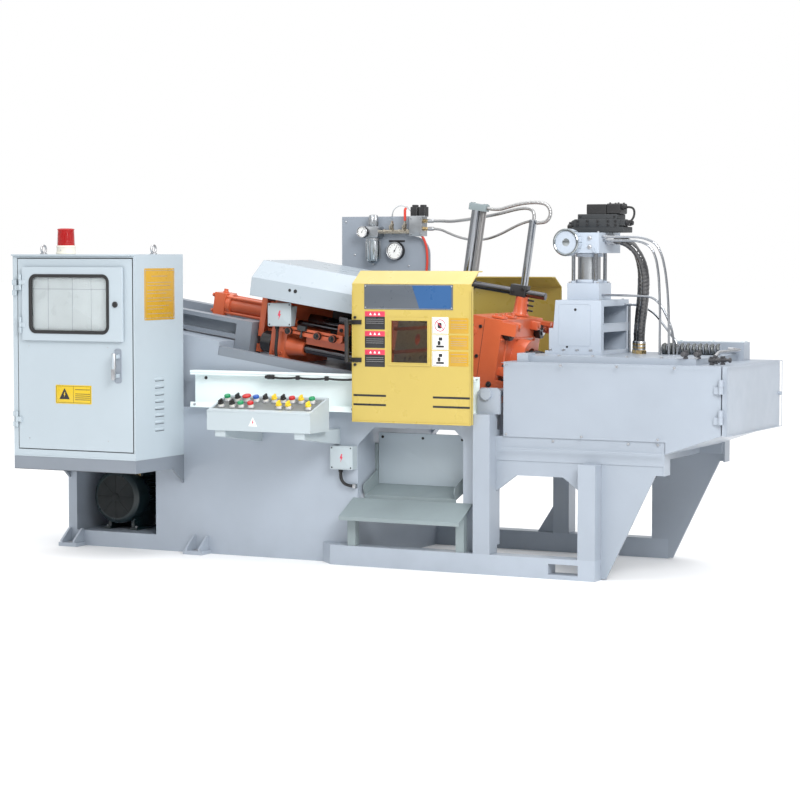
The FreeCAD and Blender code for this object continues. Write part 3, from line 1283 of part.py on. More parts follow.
# the two oil hoses, counted from the right face of the manifold block in X and the cover in Z
OIL_HOSES = [
    [(0, 42, 564), (56, 42, 564), (104, 46, 538), (134, 54, 484), (148, 62, 412),
     (146, 66, 332), (138, 70, 248), (128, 72, 164), (122, 73, 90), (122, 73, 20)],
    [(0, -44, 564), (70, -44, 564), (132, -34, 534), (174, -18, 474), (192, -6, 396),
     (190, 2, 312), (180, 8, 228), (168, 12, 152), (162, 14, 88), (162, 14, 20)],
]


def build_oil_hoses():
    start = (D.manifold_right, size(0), COVER_TOP)
    hoses = []
    for number, steps in enumerate(OIL_HOSES, start=1):
        points = route(start, steps)
        tube = tube_along(f"oil_hose_{number}", points, 21)
        end = points[-1]
        fitting = rod("hose_fitting", "z", (end[0], end[1]), 18, COVER_TOP, end[2] + 1)
        hoses.append(fuse(f"oil_hose_set_{number}", tube, fitting))
    keep(group("oil_hoses", *hoses), "oil_hoses")


# spray hoses from the valve block and the column to the mast, counted from the clamp origin in X,
# the middle plane in Y and the axis height in Z
SPRAY_HOSES = [
    [(1005, 144, 575), (1062, 144, 566), (1124, 141, 582), (1196, 138, 599), (1268, 138, 604),
     (1319, 140, 600), (1343, 142, 587), (1356, 144, 563), (1356, 146, 537), (1343, 148, 513),
     (1319, 149, 500), (1278, 150, 499)],
    [(525, 423, 517), (600, 423, 517), (680, 376, 512), (764, 326, 517), (850, 280, 524),
     (940, 236, 534), (1030, 200, 545), (1104, 182, 560), (1166, 170, 572), (1214, 162, 576),
     (1246, 156, 568), (1264, 152, 548), (1262, 150.5, 515.5)],
    [(525, 423, 475), (590, 423, 475), (664, 380, 452), (740, 330, 432), (816, 284, 418),
     (896, 244, 412), (980, 214, 420), (1060, 190, 444), (1130, 172, 474), (1196, 160, 500),
     (1236, 154, 508)],
]
SPRAY_HOSE_RADII = [10, 9, 7]


def build_spray_hoses():
    start = (D.clamp_origin, size(0), D.axis_height)
    tubes = [tube_along(f"spray_hose_{number}", route(start, steps), radius)
             for number, (steps, radius) in enumerate(zip(SPRAY_HOSES, SPRAY_HOSE_RADII), start=1)]
    keep(group("spray_hoses", *tubes), "spray_hoses")


# thin pipes from the injection unit to the furnace cover, counted like the oil hoses
THIN_PIPES = [
    [(0, -104, 578), (100, -104, 578), (206, -90, 576), (276, -78, 546), (304, -70, 486), (320, -66, 410),
     (330, -63, 320), (336, -61, 220), (338, -60, 120), (338, -60, 0)],
    [(0, -88, 560), (90, -88, 560), (186, -74, 558), (244, -64, 530), (268, -56, 470), (280, -52, 390),
     (284, -49, 290), (287, -48, 190), (286, -48, 100), (286, -48, 0)],
    [(-24, -40, 290), (70, -40, 290), (160, -36, 288), (236, -30, 284), (282, -26, 246), (316, -22, 180),
     (340, -20, 120), (348, -20, 60), (348, -20, 0)],
    [(32, 126, 240), (96, 126, 240), (158, 100, 224), (220, 60, 196), (276, 20, 150), (326, -4, 100),
     (362, -10, 60), (362, -10, 0)],
]


def build_thin_pipes():
    start = (D.manifold_right, size(0), COVER_TOP)
    tubes = [tube_along(f"thin_pipe_{number}", route(start, steps), 6)
             for number, steps in enumerate(THIN_PIPES, start=1)]
    upright = rod("upright_pipe", "z", (D.stand_right + 18, 150), 7, COVER_TOP, D.stand_top - 20)
    keep(group("thin_pipes", *tubes, upright), "thin_pipes")


def build_all():
    build_base()
    build_bed_housing()
    build_guide_rails()
    build_bed_channels()
    build_feet()
    build_motor()
    build_cabinet()
    build_lifting_eyes()
    build_cabinet_door()
    build_window_flap()
    build_beacon()
    build_door_rails()
    build_console()
    build_front_door()
    build_door_handle()
    build_rear_guard()
    build_skid_tubes()
    build_furnace_frame()
    build_frame_gussets()
    build_furnace_box()
    build_furnace_door()
    build_furnace_cover()
    build_injection_stand()
    build_shot_cylinder()
    build_shot_manifold()
    build_shot_valves()
    build_tie_bars()
    build_tail_stock()
    build_clamp_cylinder()
    build_moving_platen()
    build_clamp_ram()
    build_fixed_platen()
    build_limit_bar()
    build_hood()
    build_junction_boxes()
    build_air_panel()
    build_air_set()
    build_spray_stand()
    build_nozzle()
    build_casting_chute()
    build_oil_hoses()
    build_spray_hoses()
    build_thin_pipes()


def check_document():
    """Stop if any object failed or any sub-part is empty or not valid."""
    for item in doc.Objects:
        if "Invalid" in item.State or "Error" in item.State:
            raise RuntimeError(f"{item.Label} failed: {item.State}")
    for item in pieces:
        if item.Shape.isNull() or not item.Shape.isValid() or not item.Shape.Solids:
            raise RuntimeError(f"{item.Label} has no valid solid")


def write_parts():
    os.makedirs("parts", exist_ok=True)
    for item in pieces:
        item.Shape.exportStep(f"parts/{item.Label}.step")
        print(f"{item.Label}: {len(item.Shape.Solids)} solids, {item.Shape.Volume / 1e6:.2f} litres")


build_all()
doc.recompute()
check_document()
write_parts()
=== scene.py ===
"""Looks of a small hot-chamber die casting machine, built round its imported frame."""
import math
from functools import partial

import bpy
import numpy as np
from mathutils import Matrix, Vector


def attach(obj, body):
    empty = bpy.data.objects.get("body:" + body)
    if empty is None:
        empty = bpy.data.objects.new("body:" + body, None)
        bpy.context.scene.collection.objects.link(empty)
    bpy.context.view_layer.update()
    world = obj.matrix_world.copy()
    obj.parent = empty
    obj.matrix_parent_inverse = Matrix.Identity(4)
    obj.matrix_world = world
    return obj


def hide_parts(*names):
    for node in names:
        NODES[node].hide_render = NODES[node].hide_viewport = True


bl_info = {
    "name": "Die casting machine",
    "version": (1, 0, 0),
    "blender": (4, 5, 0),
    "location": "View3D > Sidebar > Die caster",
    "description": "Finishes and fittings of a small hot-chamber die casting machine",
    "category": "Add Mesh",
}

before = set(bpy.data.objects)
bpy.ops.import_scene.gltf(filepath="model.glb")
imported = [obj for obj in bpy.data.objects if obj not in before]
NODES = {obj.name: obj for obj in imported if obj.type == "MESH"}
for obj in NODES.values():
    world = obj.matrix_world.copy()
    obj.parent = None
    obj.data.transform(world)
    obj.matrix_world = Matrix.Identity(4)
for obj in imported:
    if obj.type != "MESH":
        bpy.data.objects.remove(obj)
MM = 0.001
INCLINE = math.radians(8.5)
AXIS_LEVEL = 1.225


# ---------------------------------------------------------------- shapes
# A part is a pair: an (n, 3) array of points and a list of face blocks, one block per face size.
# Lengths given to the shape functions are in millimetres, and parts are in millimetres too.

def outward(points, faces):
    """Turn all faces over if the signed volume of the closed part is negative."""
    volume = 0.0
    for block in faces:
        first = points[block[:, 0]]
        for k in range(1, block.shape[1] - 1):
            volume += np.einsum("ij,ij->i", first, np.cross(points[block[:, k]],
                                                            points[block[:, k + 1]])).sum()
    if volume < 0:
        faces = [block[:, ::-1] for block in faces]
    return points, faces


def skin(rings, endless=False):
    """Surface through equal closed rings: ring i is joined to ring i + 1, the ends get flat faces."""
    rings = np.asarray(rings, float)
    rows, around = rings.shape[:2]
    index = np.arange(rows * around).reshape(rows, around)
    lower = index if endless else index[:-1]
    upper = np.roll(index, -1, 0) if endless else index[1:]
    sides = np.stack([lower, np.roll(lower, -1, 1), np.roll(upper, -1, 1), upper], -1).reshape(-1, 4)
    faces = [sides] if endless else [sides, index[:1, ::-1], index[-1:]]
    return outward(rings.reshape(-1, 3), faces)


def turned(profile, sides=24):
    """Solid of revolution: each (radius, height) of the profile becomes a circle round the z axis."""
    profile = np.asarray(profile, float)
    angle = np.arange(sides) * 2 * math.pi / sides
    radius = np.maximum(profile[:, 0], 0.02)[:, None]
    rings = np.stack([radius * np.cos(angle), radius * np.sin(angle),
                      np.broadcast_to(profile[:, 1:], (len(profile), sides))], -1)
    return skin(rings)


def round_outline(width, height, corner, steps=5):
    """Rectangle whose corners are quarter circles: corner centre plus corner radius times (cos, sin)."""
    corner = min(corner, width / 2 - 0.01, height / 2 - 0.01)
    quarter = np.linspace(0, math.pi / 2, steps)
    angle = (np.arange(4)[:, None] * math.pi / 2 + quarter).ravel()
    signs = np.repeat(np.array([[1, 1], [-1, 1], [-1, -1], [1, -1]]), steps, 0)
    centre = signs * [width / 2 - corner, height / 2 - corner]
    return centre + corner * np.stack([np.cos(angle), np.sin(angle)], -1)


def slab(width, height, thick, corner=2.0, edge=1.0, steps=5):
    """Rounded rectangle raised from z = 0 to thick, its top edge broken by `edge`."""
    edge = min(edge, thick * 0.9)
    insets = [(0, 0), (0, thick - edge), (0.3 * edge, thick - 0.3 * edge), (edge, thick)]
    rings = [np.column_stack([round_outline(width - 2 * i, height - 2 * i, max(corner - i, 0.3), steps),
                              np.full(4 * steps, z)]) for i, z in insets]
    return skin(rings)


def sunk_slab(width, height, thick, rim, depth, corner=4.0):
    """Raised rounded rectangle with a tray `depth` deep inside a rim."""
    levels = [(0, 0), (0, thick - 0.6), (0.6, thick), (rim, thick), (rim + 0.6, thick - 0.6),
              (rim + 0.8, thick - depth)]
    rings = [np.column_stack([round_outline(width - 2 * i, height - 2 * i, max(corner - i, 0.4)),
                              np.full(20, z)]) for i, z in levels]
    return skin(rings)


def border(width, height, corner, section):
    """Closed frame: the (outward, up) section is carried round a rounded rectangle."""
    section = np.asarray(section, float)
    path = round_outline(width, height, corner, 8)
    grown = round_outline(width + 2, height + 2, corner + 1, 8)
    away = grown - path
    away /= np.linalg.norm(away, axis=1)[:, None]
    rings = np.concatenate([path[:, None] + away[:, None] * section[None, :, :1],
                            np.broadcast_to(section[None, :, 1:], (len(path), len(section), 1))], -1)
    return skin(rings, endless=True)


def along_path(path, section, up=(0, 1, 0)):
    """Sweep: each point of the (side, up) section is laid beside the path, square to its direction."""
    path = np.asarray(path, float)
    section = np.asarray(section, float)
    ahead = np.gradient(path, axis=0)
    ahead /= np.linalg.norm(ahead, axis=1)[:, None]
    side = np.cross(ahead, up)
    side /= np.linalg.norm(side, axis=1)[:, None]
    top = np.cross(side, ahead)
    if section.ndim == 2:
        section = np.broadcast_to(section, (len(path),) + section.shape)
    return skin(path[:, None] + side[:, None] * section[:, :, :1] + top[:, None] * section[:, :, 1:])


def circle(radius, sides=12):
    """Points of a circle: radius times (cos, sin)."""
    angle = np.arange(sides) * 2 * math.pi / sides
    return radius * np.stack([np.cos(angle), np.sin(angle)], -1)


def join(*parts):
    """Several parts as one."""
    points, faces, start = [], [], 0
    for some_points, some_faces in parts:
        points.append(some_points)
        faces += [block + start for block in some_faces]
        start += len(some_points)
    return np.concatenate(points), faces


def copies(part, places):
    """The part once at each place."""
    points, faces = part
    places = np.asarray(places, float).reshape(-1, 3)
    shift = np.arange(len(places))[:, None, None] * len(points)
    moved = (points[None] + places[:, None]).reshape(-1, 3)
    return moved, [(block[None] + shift).reshape(-1, block.shape[1]) for block in faces]


def put(part, at, out=(0, 0, 1), up=None):
    """The part moved to `at`, its z axis turned to `out` and its y axis to `up` as nearly as it goes."""
    points, faces = part
    out = np.asarray(out, float) / np.linalg.norm(out)
    if up is None:
        up = (0, 0, 1) if abs(out[2]) < 0.9 else (0, 1, 0)
    right = np.cross(up, out)
    right /= np.linalg.norm(right)
    return points @ np.stack([right, np.cross(out, right), out]) + np.asarray(at, float), faces


FRONT = (0, -1, 0)
BACK = (0, 1, 0)
RIGHT = (1, 0, 0)
LEFT = (-1, 0, 0)
UP = (0, 0, 1)
DOWN = (0, 0, -1)
SLOPE = (math.cos(INCLINE), 0, -math.sin(INCLINE))
SLOPE_UP = (math.sin(INCLINE), 0, math.cos(INCLINE))
SLOPE_BACK = -np.array(SLOPE)


def on_slope(s, y, n):
    """Point of the clamp frame: s along the clamp axis, y across, n square to the axis."""
    return (s * SLOPE[0] + n * SLOPE_UP[0], y, AXIS_LEVEL / MM + s * SLOPE[2] + n * SLOPE_UP[2])


def hex_head(size=10.0, height=6.0):
    """Hexagon bolt head with a washer under it and broken corners."""
    washer = turned([(size * 1.15, 0), (size * 1.15, 1.0), (size * 1.05, 1.4)], 16)
    head = turned([(size * 0.93, 1.4), (size * 0.93, height - 0.8), (size * 0.8, height)], 6)
    return join(washer, head)


def cap_screw(radius=7.0, height=7.0):
    """Socket cap screw: a round head with a six-sided hole."""
    return turned([(radius, 0), (radius, height - 1), (radius * 0.86, height), (radius * 0.52, height),
                   (radius * 0.5, height - 0.4), (radius * 0.48, height * 0.35)], 12)


def dome_screw(radius=5.0):
    """Low domed screw head with a round recess."""
    return turned([(radius, 0), (radius * 0.95, radius * 0.25), (radius * 0.7, radius * 0.48),
                   (radius * 0.34, radius * 0.56), (radius * 0.3, radius * 0.3)], 12)


def studs(radius, places, facing=FRONT):
    """Domed screws of one size, one at each place, standing out of one face."""
    return copies(put(dome_screw(radius), (0, 0, 0), facing), places)


# ---------------------------------------------------------------- finishes

def blank_material(name):
    """New material with only a Principled shader and its output."""
    material = bpy.data.materials.new(name)
    material.use_nodes = True
    tree = material.node_tree
    tree.nodes.clear()
    output = tree.nodes.new("ShaderNodeOutputMaterial")
    shader = tree.nodes.new("ShaderNodeBsdfPrincipled")
    tree.links.new(shader.outputs[0], output.inputs[0])
    return material, tree, shader


def noise_on_object(tree, scale, detail=3.0, stretch=(1, 1, 1)):
    """Noise value read on Object coordinates."""
    place = tree.nodes.new("ShaderNodeTexCoord")
    mapping = tree.nodes.new("ShaderNodeMapping")
    mapping.inputs["Scale"].default_value = stretch
    noise = tree.nodes.new("ShaderNodeTexNoise")
    noise.inputs["Scale"].default_value = scale
    noise.inputs["Detail"].default_value = detail
    tree.links.new(place.outputs["Object"], mapping.inputs["Vector"])
    tree.links.new(mapping.outputs[0], noise.inputs["Vector"])
    return noise.outputs[0]


def spread(tree, value, low, high, start=0.3, end=0.7):
    """Map a value from start..end to low..high."""
    node = tree.nodes.new("ShaderNodeMapRange")
    for name, number in (("From Min", start), ("From Max", end), ("To Min", low), ("To Max", high)):
        node.inputs[name].default_value = number
    tree.links.new(value, node.inputs["Value"])
    return node.outputs[0]


def blend_colours(tree, factor, first, second):
    """Mix of two colours, each a triple or another node's output."""
    node = tree.nodes.new("ShaderNodeMix")
    node.data_type = "RGBA"
    for socket, colour in ((node.inputs[6], first), (node.inputs[7], second)):
        if isinstance(colour, bpy.types.NodeSocket):
            tree.links.new(colour, socket)
        else:
            socket.default_value = (*colour, 1)
    tree.links.new(factor, node.inputs[0])
    return node.outputs[2]


def soft_edges(tree, radius):
    """Normal that rounds off hard edges by the radius."""
    node = tree.nodes.new("ShaderNodeBevel")
    node.samples = 4
    node.inputs["Radius"].default_value = radius
    return node.outputs[0]


def add_bump(tree, shader, height, strength, distance, edge=0.0):
    """Relief on the shader's normal, over rounded edges if `edge` is given."""
    bump = tree.nodes.new("ShaderNodeBump")
    bump.inputs["Strength"].default_value = strength
    bump.inputs["Distance"].default_value = distance
    tree.links.new(height, bump.inputs["Height"])
    if edge:
        tree.links.new(soft_edges(tree, edge), bump.inputs["Normal"])
    tree.links.new(bump.outputs[0], shader.inputs["Normal"])


def painted(name, colour, roughness=0.38, shade=0.06, grain=260.0, relief=0.12, edge=0.0018, floor_darkening=0.0,
            coat=0.0):
    """Sprayed enamel: slow drift of tone, fine orange-peel relief, worn-soft edges, and if asked a darkening
    in patches towards the floor.
    """
    material, tree, shader = blank_material(name)
    darker = tuple(c * (1 - shade) for c in colour)
    lighter = tuple(min(1.0, c * (1 + shade)) for c in colour)
    tone = blend_colours(tree, spread(tree, noise_on_object(tree, 2.6, 5), 0, 1), darker, lighter)
    # Darker towards the floor: over the lowest 0.28 m, in noisy patches, the colour is mixed towards a
    # darker copy of itself.
    if floor_darkening:
        place = tree.nodes.new("ShaderNodeTexCoord")
        split = tree.nodes.new("ShaderNodeSeparateXYZ")
        tree.links.new(place.outputs["Object"], split.inputs[0])
        low = spread(tree, split.outputs[2], 1, 0, 0.0, 0.28)
        patch = spread(tree, noise_on_object(tree, 9, 6), 0, 1, 0.42, 0.66)
        amount = tree.nodes.new("ShaderNodeMath")
        amount.operation = "MULTIPLY"
        tree.links.new(low, amount.inputs[0])
        tree.links.new(patch, amount.inputs[1])
        scaled = tree.nodes.new("ShaderNodeMath")
        scaled.operation = "MULTIPLY"
        scaled.inputs[1].default_value = floor_darkening
        tree.links.new(amount.outputs[0], scaled.inputs[0])
        tone = blend_colours(tree, scaled.outputs[0], tone, tuple(c * 0.45 for c in colour))
    tree.links.new(tone, shader.inputs["Base Color"])
    rough = spread(tree, noise_on_object(tree, 14, 4), roughness - 0.05, roughness + 0.07)
    tree.links.new(rough, shader.inputs["Roughness"])
    add_bump(tree, shader, noise_on_object(tree, grain, 2), relief, 0.0004, edge)
    if coat:
        shader.inputs["Coat Weight"].default_value = coat
        shader.inputs["Coat Roughness"].default_value = 0.12
    return material


def metal(name, colour, roughness=0.25, stretch=(1, 1, 1), scratch=160.0, relief=0.06, edge=0.0008):
    """Bare metal: fine drawn scratches in tone, gloss and relief."""
    material, tree, shader = blank_material(name)
    shader.inputs["Metallic"].default_value = 1.0
    scratches = noise_on_object(tree, scratch, 4, stretch)
    tone = blend_colours(tree, spread(tree, scratches, 0, 1), tuple(c * 0.82 for c in colour), colour)
    tree.links.new(tone, shader.inputs["Base Color"])
    tree.links.new(spread(tree, scratches, roughness * 0.7, roughness * 1.4), shader.inputs["Roughness"])
    add_bump(tree, shader, scratches, relief, 0.0003, edge)
    return material


def moulded(name, colour, roughness=0.42, shade=0.08, grain=420.0, relief=0.1, edge=0.0006):
    """Moulded plastic or rubber: faint mottling and a fine matt grain."""
    return painted(name, colour, roughness, shade, grain, relief, edge)


def clear(name, tint, roughness=0.04):
    """Clear glass or plastic sheet with faint smears."""
    material, tree, shader = blank_material(name)
    shader.inputs["Transmission Weight"].default_value = 1.0
    shader.inputs["IOR"].default_value = 1.3
    smear = noise_on_object(tree, 7, 4)
    tree.links.new(blend_colours(tree, spread(tree, smear, 0, 1), tuple(c * 0.94 for c in tint), tint),
                   shader.inputs["Base Color"])
    tree.links.new(spread(tree, smear, roughness, roughness + 0.1), shader.inputs["Roughness"])
    return material


def lit_face(name, colour, shade=0.05):
    """Flat printed or backlit face."""
    return painted(name, colour, 0.3, shade, 600.0, 0.03, 0.0)


FINISH = {}


def make_finishes(looks):
    """Make every finish once, from the colours of the settings."""
    machine = tuple(looks.machine_grey)
    FINISH.update(
        # Machine enamel: darker towards the floor, in patches.
        machine=painted("machine_enamel", machine, 0.36, 0.05, floor_darkening=0.1, coat=0.15),
        # Furnace: the machine grey painted 12 % darker, as painted shade on the same enamel.
        furnace=painted("furnace_enamel_painted_shade", tuple(c * 0.88 for c in machine), 0.36, 0.05, coat=0.15),
        # Injection stand and cylinder: the machine grey painted 20 % lighter, as painted light on the same
        # enamel.
        casting=painted("casting_enamel_painted_light", tuple(c * 1.2 for c in machine), 0.36, 0.05, coat=0.15),
        # Guide rails, bed channels and cabinet platform: the machine grey painted 40 % darker, as painted
        # shade where these parts lie in shade.
        shaded=painted("bed_enamel_painted_shade", tuple(c * 0.60 for c in machine), 0.4, 0.06),
        # Door rails and hems: the console white painted twice as light, as painted light on the same enamel.
        rail=painted("rail_enamel_painted_light", tuple(min(c * 2.0, 0.93) for c in looks.console_white), 0.35, 0.03,
                     coat=0.2),
        cabinet=painted("cabinet_powder_coat", tuple(looks.cabinet_white), 0.5, 0.03, 900, 0.22),
        white=painted("console_enamel", tuple(looks.console_white), 0.35, 0.03, coat=0.2),
        yellow=painted("guard_enamel", tuple(looks.guard_yellow), 0.3, 0.03, 700, 0.04, coat=0.3),
        orange=painted("clamp_enamel", tuple(looks.clamp_orange), 0.33, 0.16, 90, 0.28, 0.003, coat=0.3),
        hood=painted("hood_enamel", tuple(looks.hood_white), 0.3, 0.03, 700, 0.04, coat=0.3),
        tray=painted("tray_enamel", (0.225, 0.272, 0.285), 0.42, 0.10, 120, 0.15),
        panel=painted("panel_enamel", (0.285, 0.322, 0.372), 0.4, 0.06),
        chrome=metal("hard_chrome", (0.42, 0.44, 0.47), 0.12, (1, 1, 1), 220),
        dark_chrome=metal("oiled_bar_steel", (0.13, 0.13, 0.14), 0.18, (1, 1, 1), 120),
        steel=metal("bright_steel", (0.60, 0.60, 0.61), 0.3),
        brass=metal("brass", (0.70, 0.52, 0.26), 0.28),
        nickel=metal("worn_nickel", (0.44, 0.40, 0.33), 0.3),
        zinc=metal("zinc_plate", (0.52, 0.53, 0.55), 0.34),
        black=painted("black_oxide", (0.018, 0.018, 0.020), 0.36, 0.2),
        handle=moulded("black_plastic", (0.014, 0.014, 0.015), 0.4),
        rubber=moulded("black_rubber", (0.012, 0.012, 0.013), 0.6),
        motor=painted("motor_enamel", (0.006, 0.016, 0.019), 0.3, 0.15, 300, 0.06, coat=0.2),
        cowl_face=painted("cowl_face", (0.006, 0.009, 0.010), 0.75, 0.15, 120, 0.2),
        valve=painted("valve_enamel", (0.028, 0.031, 0.034), 0.4, 0.15, 120, 0.2),
        red_lens=moulded("red_lens", (0.42, 0.012, 0.012), 0.16),
        cream=moulded("cream_plastic", (0.74, 0.71, 0.62), 0.35),
        glass=clear("window_glass", (0.60, 0.54, 0.47)),
        pane=clear("cabinet_pane", (0.97, 0.98, 0.99)),
        console_sheet=painted("console_sheet_grey", (0.16, 0.17, 0.165), 0.4, 0.22, 60, 0.2),
        machined=metal("machined_face", (0.42, 0.38, 0.34), 0.34, (1, 1, 1), 90, 0.2),
        cast_alloy=metal("cast_alloy", (0.42, 0.44, 0.46), 0.32, (1, 1, 1), 400, 0.05),
        bowl_metal=metal("filter_bowl_metal", (0.46, 0.51, 0.54), 0.2, (1, 1, 1), 500, 0.04),
        braid=metal("silver_braid", (0.46, 0.46, 0.46), 0.34, (1, 1, 1), 300, 0.3),
        braid_dark=metal("dark_braid", (0.16, 0.17, 0.17), 0.45, (1, 1, 1), 300, 0.3),
        film_chrome=metal("film_wrapped_chrome", (0.36, 0.39, 0.40), 0.12, (1, 1, 1), 26, 0.9),
        film_black=painted("film_over_rubber", (0.022, 0.022, 0.024), 0.18, 0.5, 55, 1.0, coat=1.0),
        bowl=clear("clear_bowl", (0.9, 0.93, 0.95), 0.06),
        screen=lit_face("panel_screen", (0.74, 0.80, 0.80)),
        plate_grey=lit_face("nameplate_grey", (0.085, 0.10, 0.12)),
        plate_blue=lit_face("nameplate_blue", (0.022, 0.09, 0.235)),
        sticker_yellow=lit_face("sticker_yellow", (0.66, 0.46, 0.02)),
        sticker_white=lit_face("sticker_white", (0.82, 0.82, 0.80)),
        sticker_black=lit_face("sticker_black", (0.02, 0.02, 0.022)),
        sticker_red=lit_face("sticker_red", (0.62, 0.045, 0.09)),
        sticker_amber=lit_face("sticker_amber", (0.50, 0.285, 0.022)),
        sticker_line=lit_face("sticker_line", (0.30, 0.30, 0.30)),
        cap_red=moulded("cap_red", (0.5, 0.015, 0.015), 0.3),
        cap_green=moulded("cap_green", (0.01, 0.26, 0.10), 0.3),
        cap_blue=moulded("cap_blue", (0.012, 0.09, 0.40), 0.3),
        cap_yellow=moulded("cap_yellow", (0.80, 0.55, 0.03), 0.3),
        cap_white=moulded("cap_white", (0.78, 0.77, 0.72), 0.3),
        orange_hose=moulded("red_hose", (0.62, 0.05, 0.03), 0.3),
        cast_iron=painted("dark_casting", (0.05, 0.05, 0.055), 0.5, 0.2, 60, 0.4),
    )


NODE_FINISH = {
    "machine": ["base_box", "bed_housing", "floor_feet", "skid_tubes"],
    "shaded": ["guide_rails", "bed_channels", "cabinet_platform"],
    "casting": ["injection_stand", "shot_cylinder", "shot_manifold"], "rail": ["door_rails"],
    "furnace": ["furnace_frame", "frame_gussets", "furnace_box", "furnace_door", "furnace_cover"],
    "cabinet": ["control_cabinet", "cabinet_door", "window_flap"],
    "white": ["control_console", "junction_boxes"],
    "yellow": ["front_door", "rear_guard"],
    "orange": ["tail_stock", "clamp_cylinder", "moving_platen", "fixed_platen", "limit_bar"],
    "hood": ["clamp_hood"], "tray": ["casting_chute"], "panel": ["air_panel"],
    "dark_chrome": ["tie_bars", "spray_stand", "clamp_ram"], "chrome": ["thin_pipes"],
    "steel": ["lifting_eyes", "air_set", "spray_hoses"], "black": ["nozzle"],
    "handle": ["door_handle"], "motor": ["pump_motor"], "valve": ["shot_valves"], "red_lens": ["beacon"],
    "glass": ["door_window"], "rubber": ["oil_hoses"],
}


def shade_by_angle(mesh, degrees=32):
    """Smooth shading with sharp edges where faces meet at more than the angle."""
    mesh.polygons.foreach_set("use_smooth", np.ones(len(mesh.polygons), bool))
    mesh.set_sharp_from_angle(angle=math.radians(degrees))


def dress_nodes():
    """Give every carried-over node its finish."""
    for finish, names in NODE_FINISH.items():
        for name in names:
            mesh = NODES[name].data
            mesh.materials.clear()
            mesh.materials.append(FINISH[finish])


def add_piece(name, part, finish, body="machine", slot=None, stands_for=()):
    """Make the mesh object of a part, let it ride on its body and give it its finish; its slot is not used.
    """
    points, faces = part
    mesh = bpy.data.meshes.new(name)
    mesh.vertices.add(len(points))
    mesh.vertices.foreach_set("co", (points * MM).astype(np.float32).ravel())
    corners = np.concatenate([block.ravel() for block in faces])
    sizes = np.concatenate([np.full(len(block), block.shape[1]) for block in faces])
    mesh.loops.add(len(corners))
    mesh.loops.foreach_set("vertex_index", corners.astype(np.int32))
    mesh.polygons.add(len(sizes))
    mesh.polygons.foreach_set("loop_start", (np.cumsum(sizes) - sizes).astype(np.int32))
    mesh.update(calc_edges=True)
    mesh.validate()
    shade_by_angle(mesh)
    mesh.materials.append(FINISH[finish])
    piece = bpy.data.objects.new(name, mesh)
    bpy.context.scene.collection.objects.link(piece)
    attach(piece, body)
    if stands_for:
        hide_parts(*stands_for)
    return piece


guard_piece = partial(add_piece, body="sliding_guard")
leaf_piece = partial(add_piece, body="cabinet_leaf")


# ---------------------------------------------------------------- more shapes


def framed(outer, inner, shift, thick, edge=1.0):
    """Plate with a rounded opening: the outer and inner outlines are joined at the back and the front."""
    outside = round_outline(*outer, 8)
    narrower = round_outline(outer[0] - 2 * edge, outer[1] - 2 * edge, max(outer[2] - edge, 0.4), 8)
    inside = round_outline(*inner, 8) + shift
    levels = [(outside, 0), (outside, thick - edge), (narrower, thick), (inside, thick), (inside, 0)]
    return skin([np.column_stack([outline, np.full(len(outline), z)]) for outline, z in levels],
                endless=True)


def rod_between(start, end, radius, sides=20, edge=1.0):
    """Round bar from one point to another with broken ends."""
    start, end = np.asarray(start, float), np.asarray(end, float)
    length = np.linalg.norm(end - start)
    shape = turned([(radius - edge, 0), (radius, edge), (radius, length - edge), (radius - edge, length)],
                   sides)
    return put(shape, start, end - start)


def brick(low, high, corner=2.0, edge=1.0, out=UP):
    """Block between two corners, its upright edges rounded and its edge towards `out` broken."""
    low, high = np.asarray(low, float), np.asarray(high, float)
    middle, size = (low + high) / 2, high - low
    depth = abs(np.dot(size, out))
    up = (0, 1, 0) if out in (UP, DOWN) else (0, 0, 1)
    right = np.abs(np.cross(up, out))
    width, height = np.dot(size, right), np.dot(size, np.abs(up))
    return put(slab(width, height, depth, corner, edge), middle - np.asarray(out, float) * depth / 2, out,
               up)


def slope_brick(low, high, corner=2.0, edge=1.0, out="up"):
    """Block between two (s, y, n) corners of the clamp frame."""
    low, high = np.asarray(low, float), np.asarray(high, float)
    middle, size = (low + high) / 2, high - low
    if out == "up":
        foot = on_slope(middle[0], middle[1], low[2])
        return put(slab(size[0], size[1], size[2], corner, edge), foot, SLOPE_UP, BACK)
    if out == "front":
        foot = on_slope(middle[0], high[1], middle[2])
        return put(slab(size[0], size[2], size[1], corner, edge), foot, FRONT, SLOPE_UP)
    foot = on_slope(low[0], middle[1], middle[2])
    return put(slab(size[1], size[2], size[0], corner, edge), foot, SLOPE, SLOPE_UP)


def slope_rod(start, end, radius, sides=24, edge=1.0):
    """Round bar between two (s, y, n) points of the clamp frame."""
    return rod_between(on_slope(*start), on_slope(*end), radius, sides, edge)


def fluted(radius, depth, count, heights, sides_per=4):
    """Knob or fin stack: radius minus depth times a rounded square wave of the angle."""
    angle = np.arange(count * sides_per) * 2 * math.pi / (count * sides_per)
    wave = np.tanh(2.5 * np.cos(count * angle)) * 0.5 + 0.5
    rings = []
    for scale, z in heights:
        reach = radius * scale - depth * (1 - wave)
        rings.append(np.column_stack([reach * np.cos(angle), reach * np.sin(angle), np.full(len(angle), z)]))
    return skin(rings)


def wheel_ring(radius, wire, sides=40, around=10):
    """Ring: a wire circle carried round a larger circle."""
    turn = np.arange(sides) * 2 * math.pi / sides
    small = circle(wire, around)
    reach = radius + small[None, :, 0]
    return skin(np.stack([reach * np.cos(turn)[:, None], reach * np.sin(turn)[:, None],
                          np.broadcast_to(small[None, :, 1], (sides, around))], -1), endless=True)


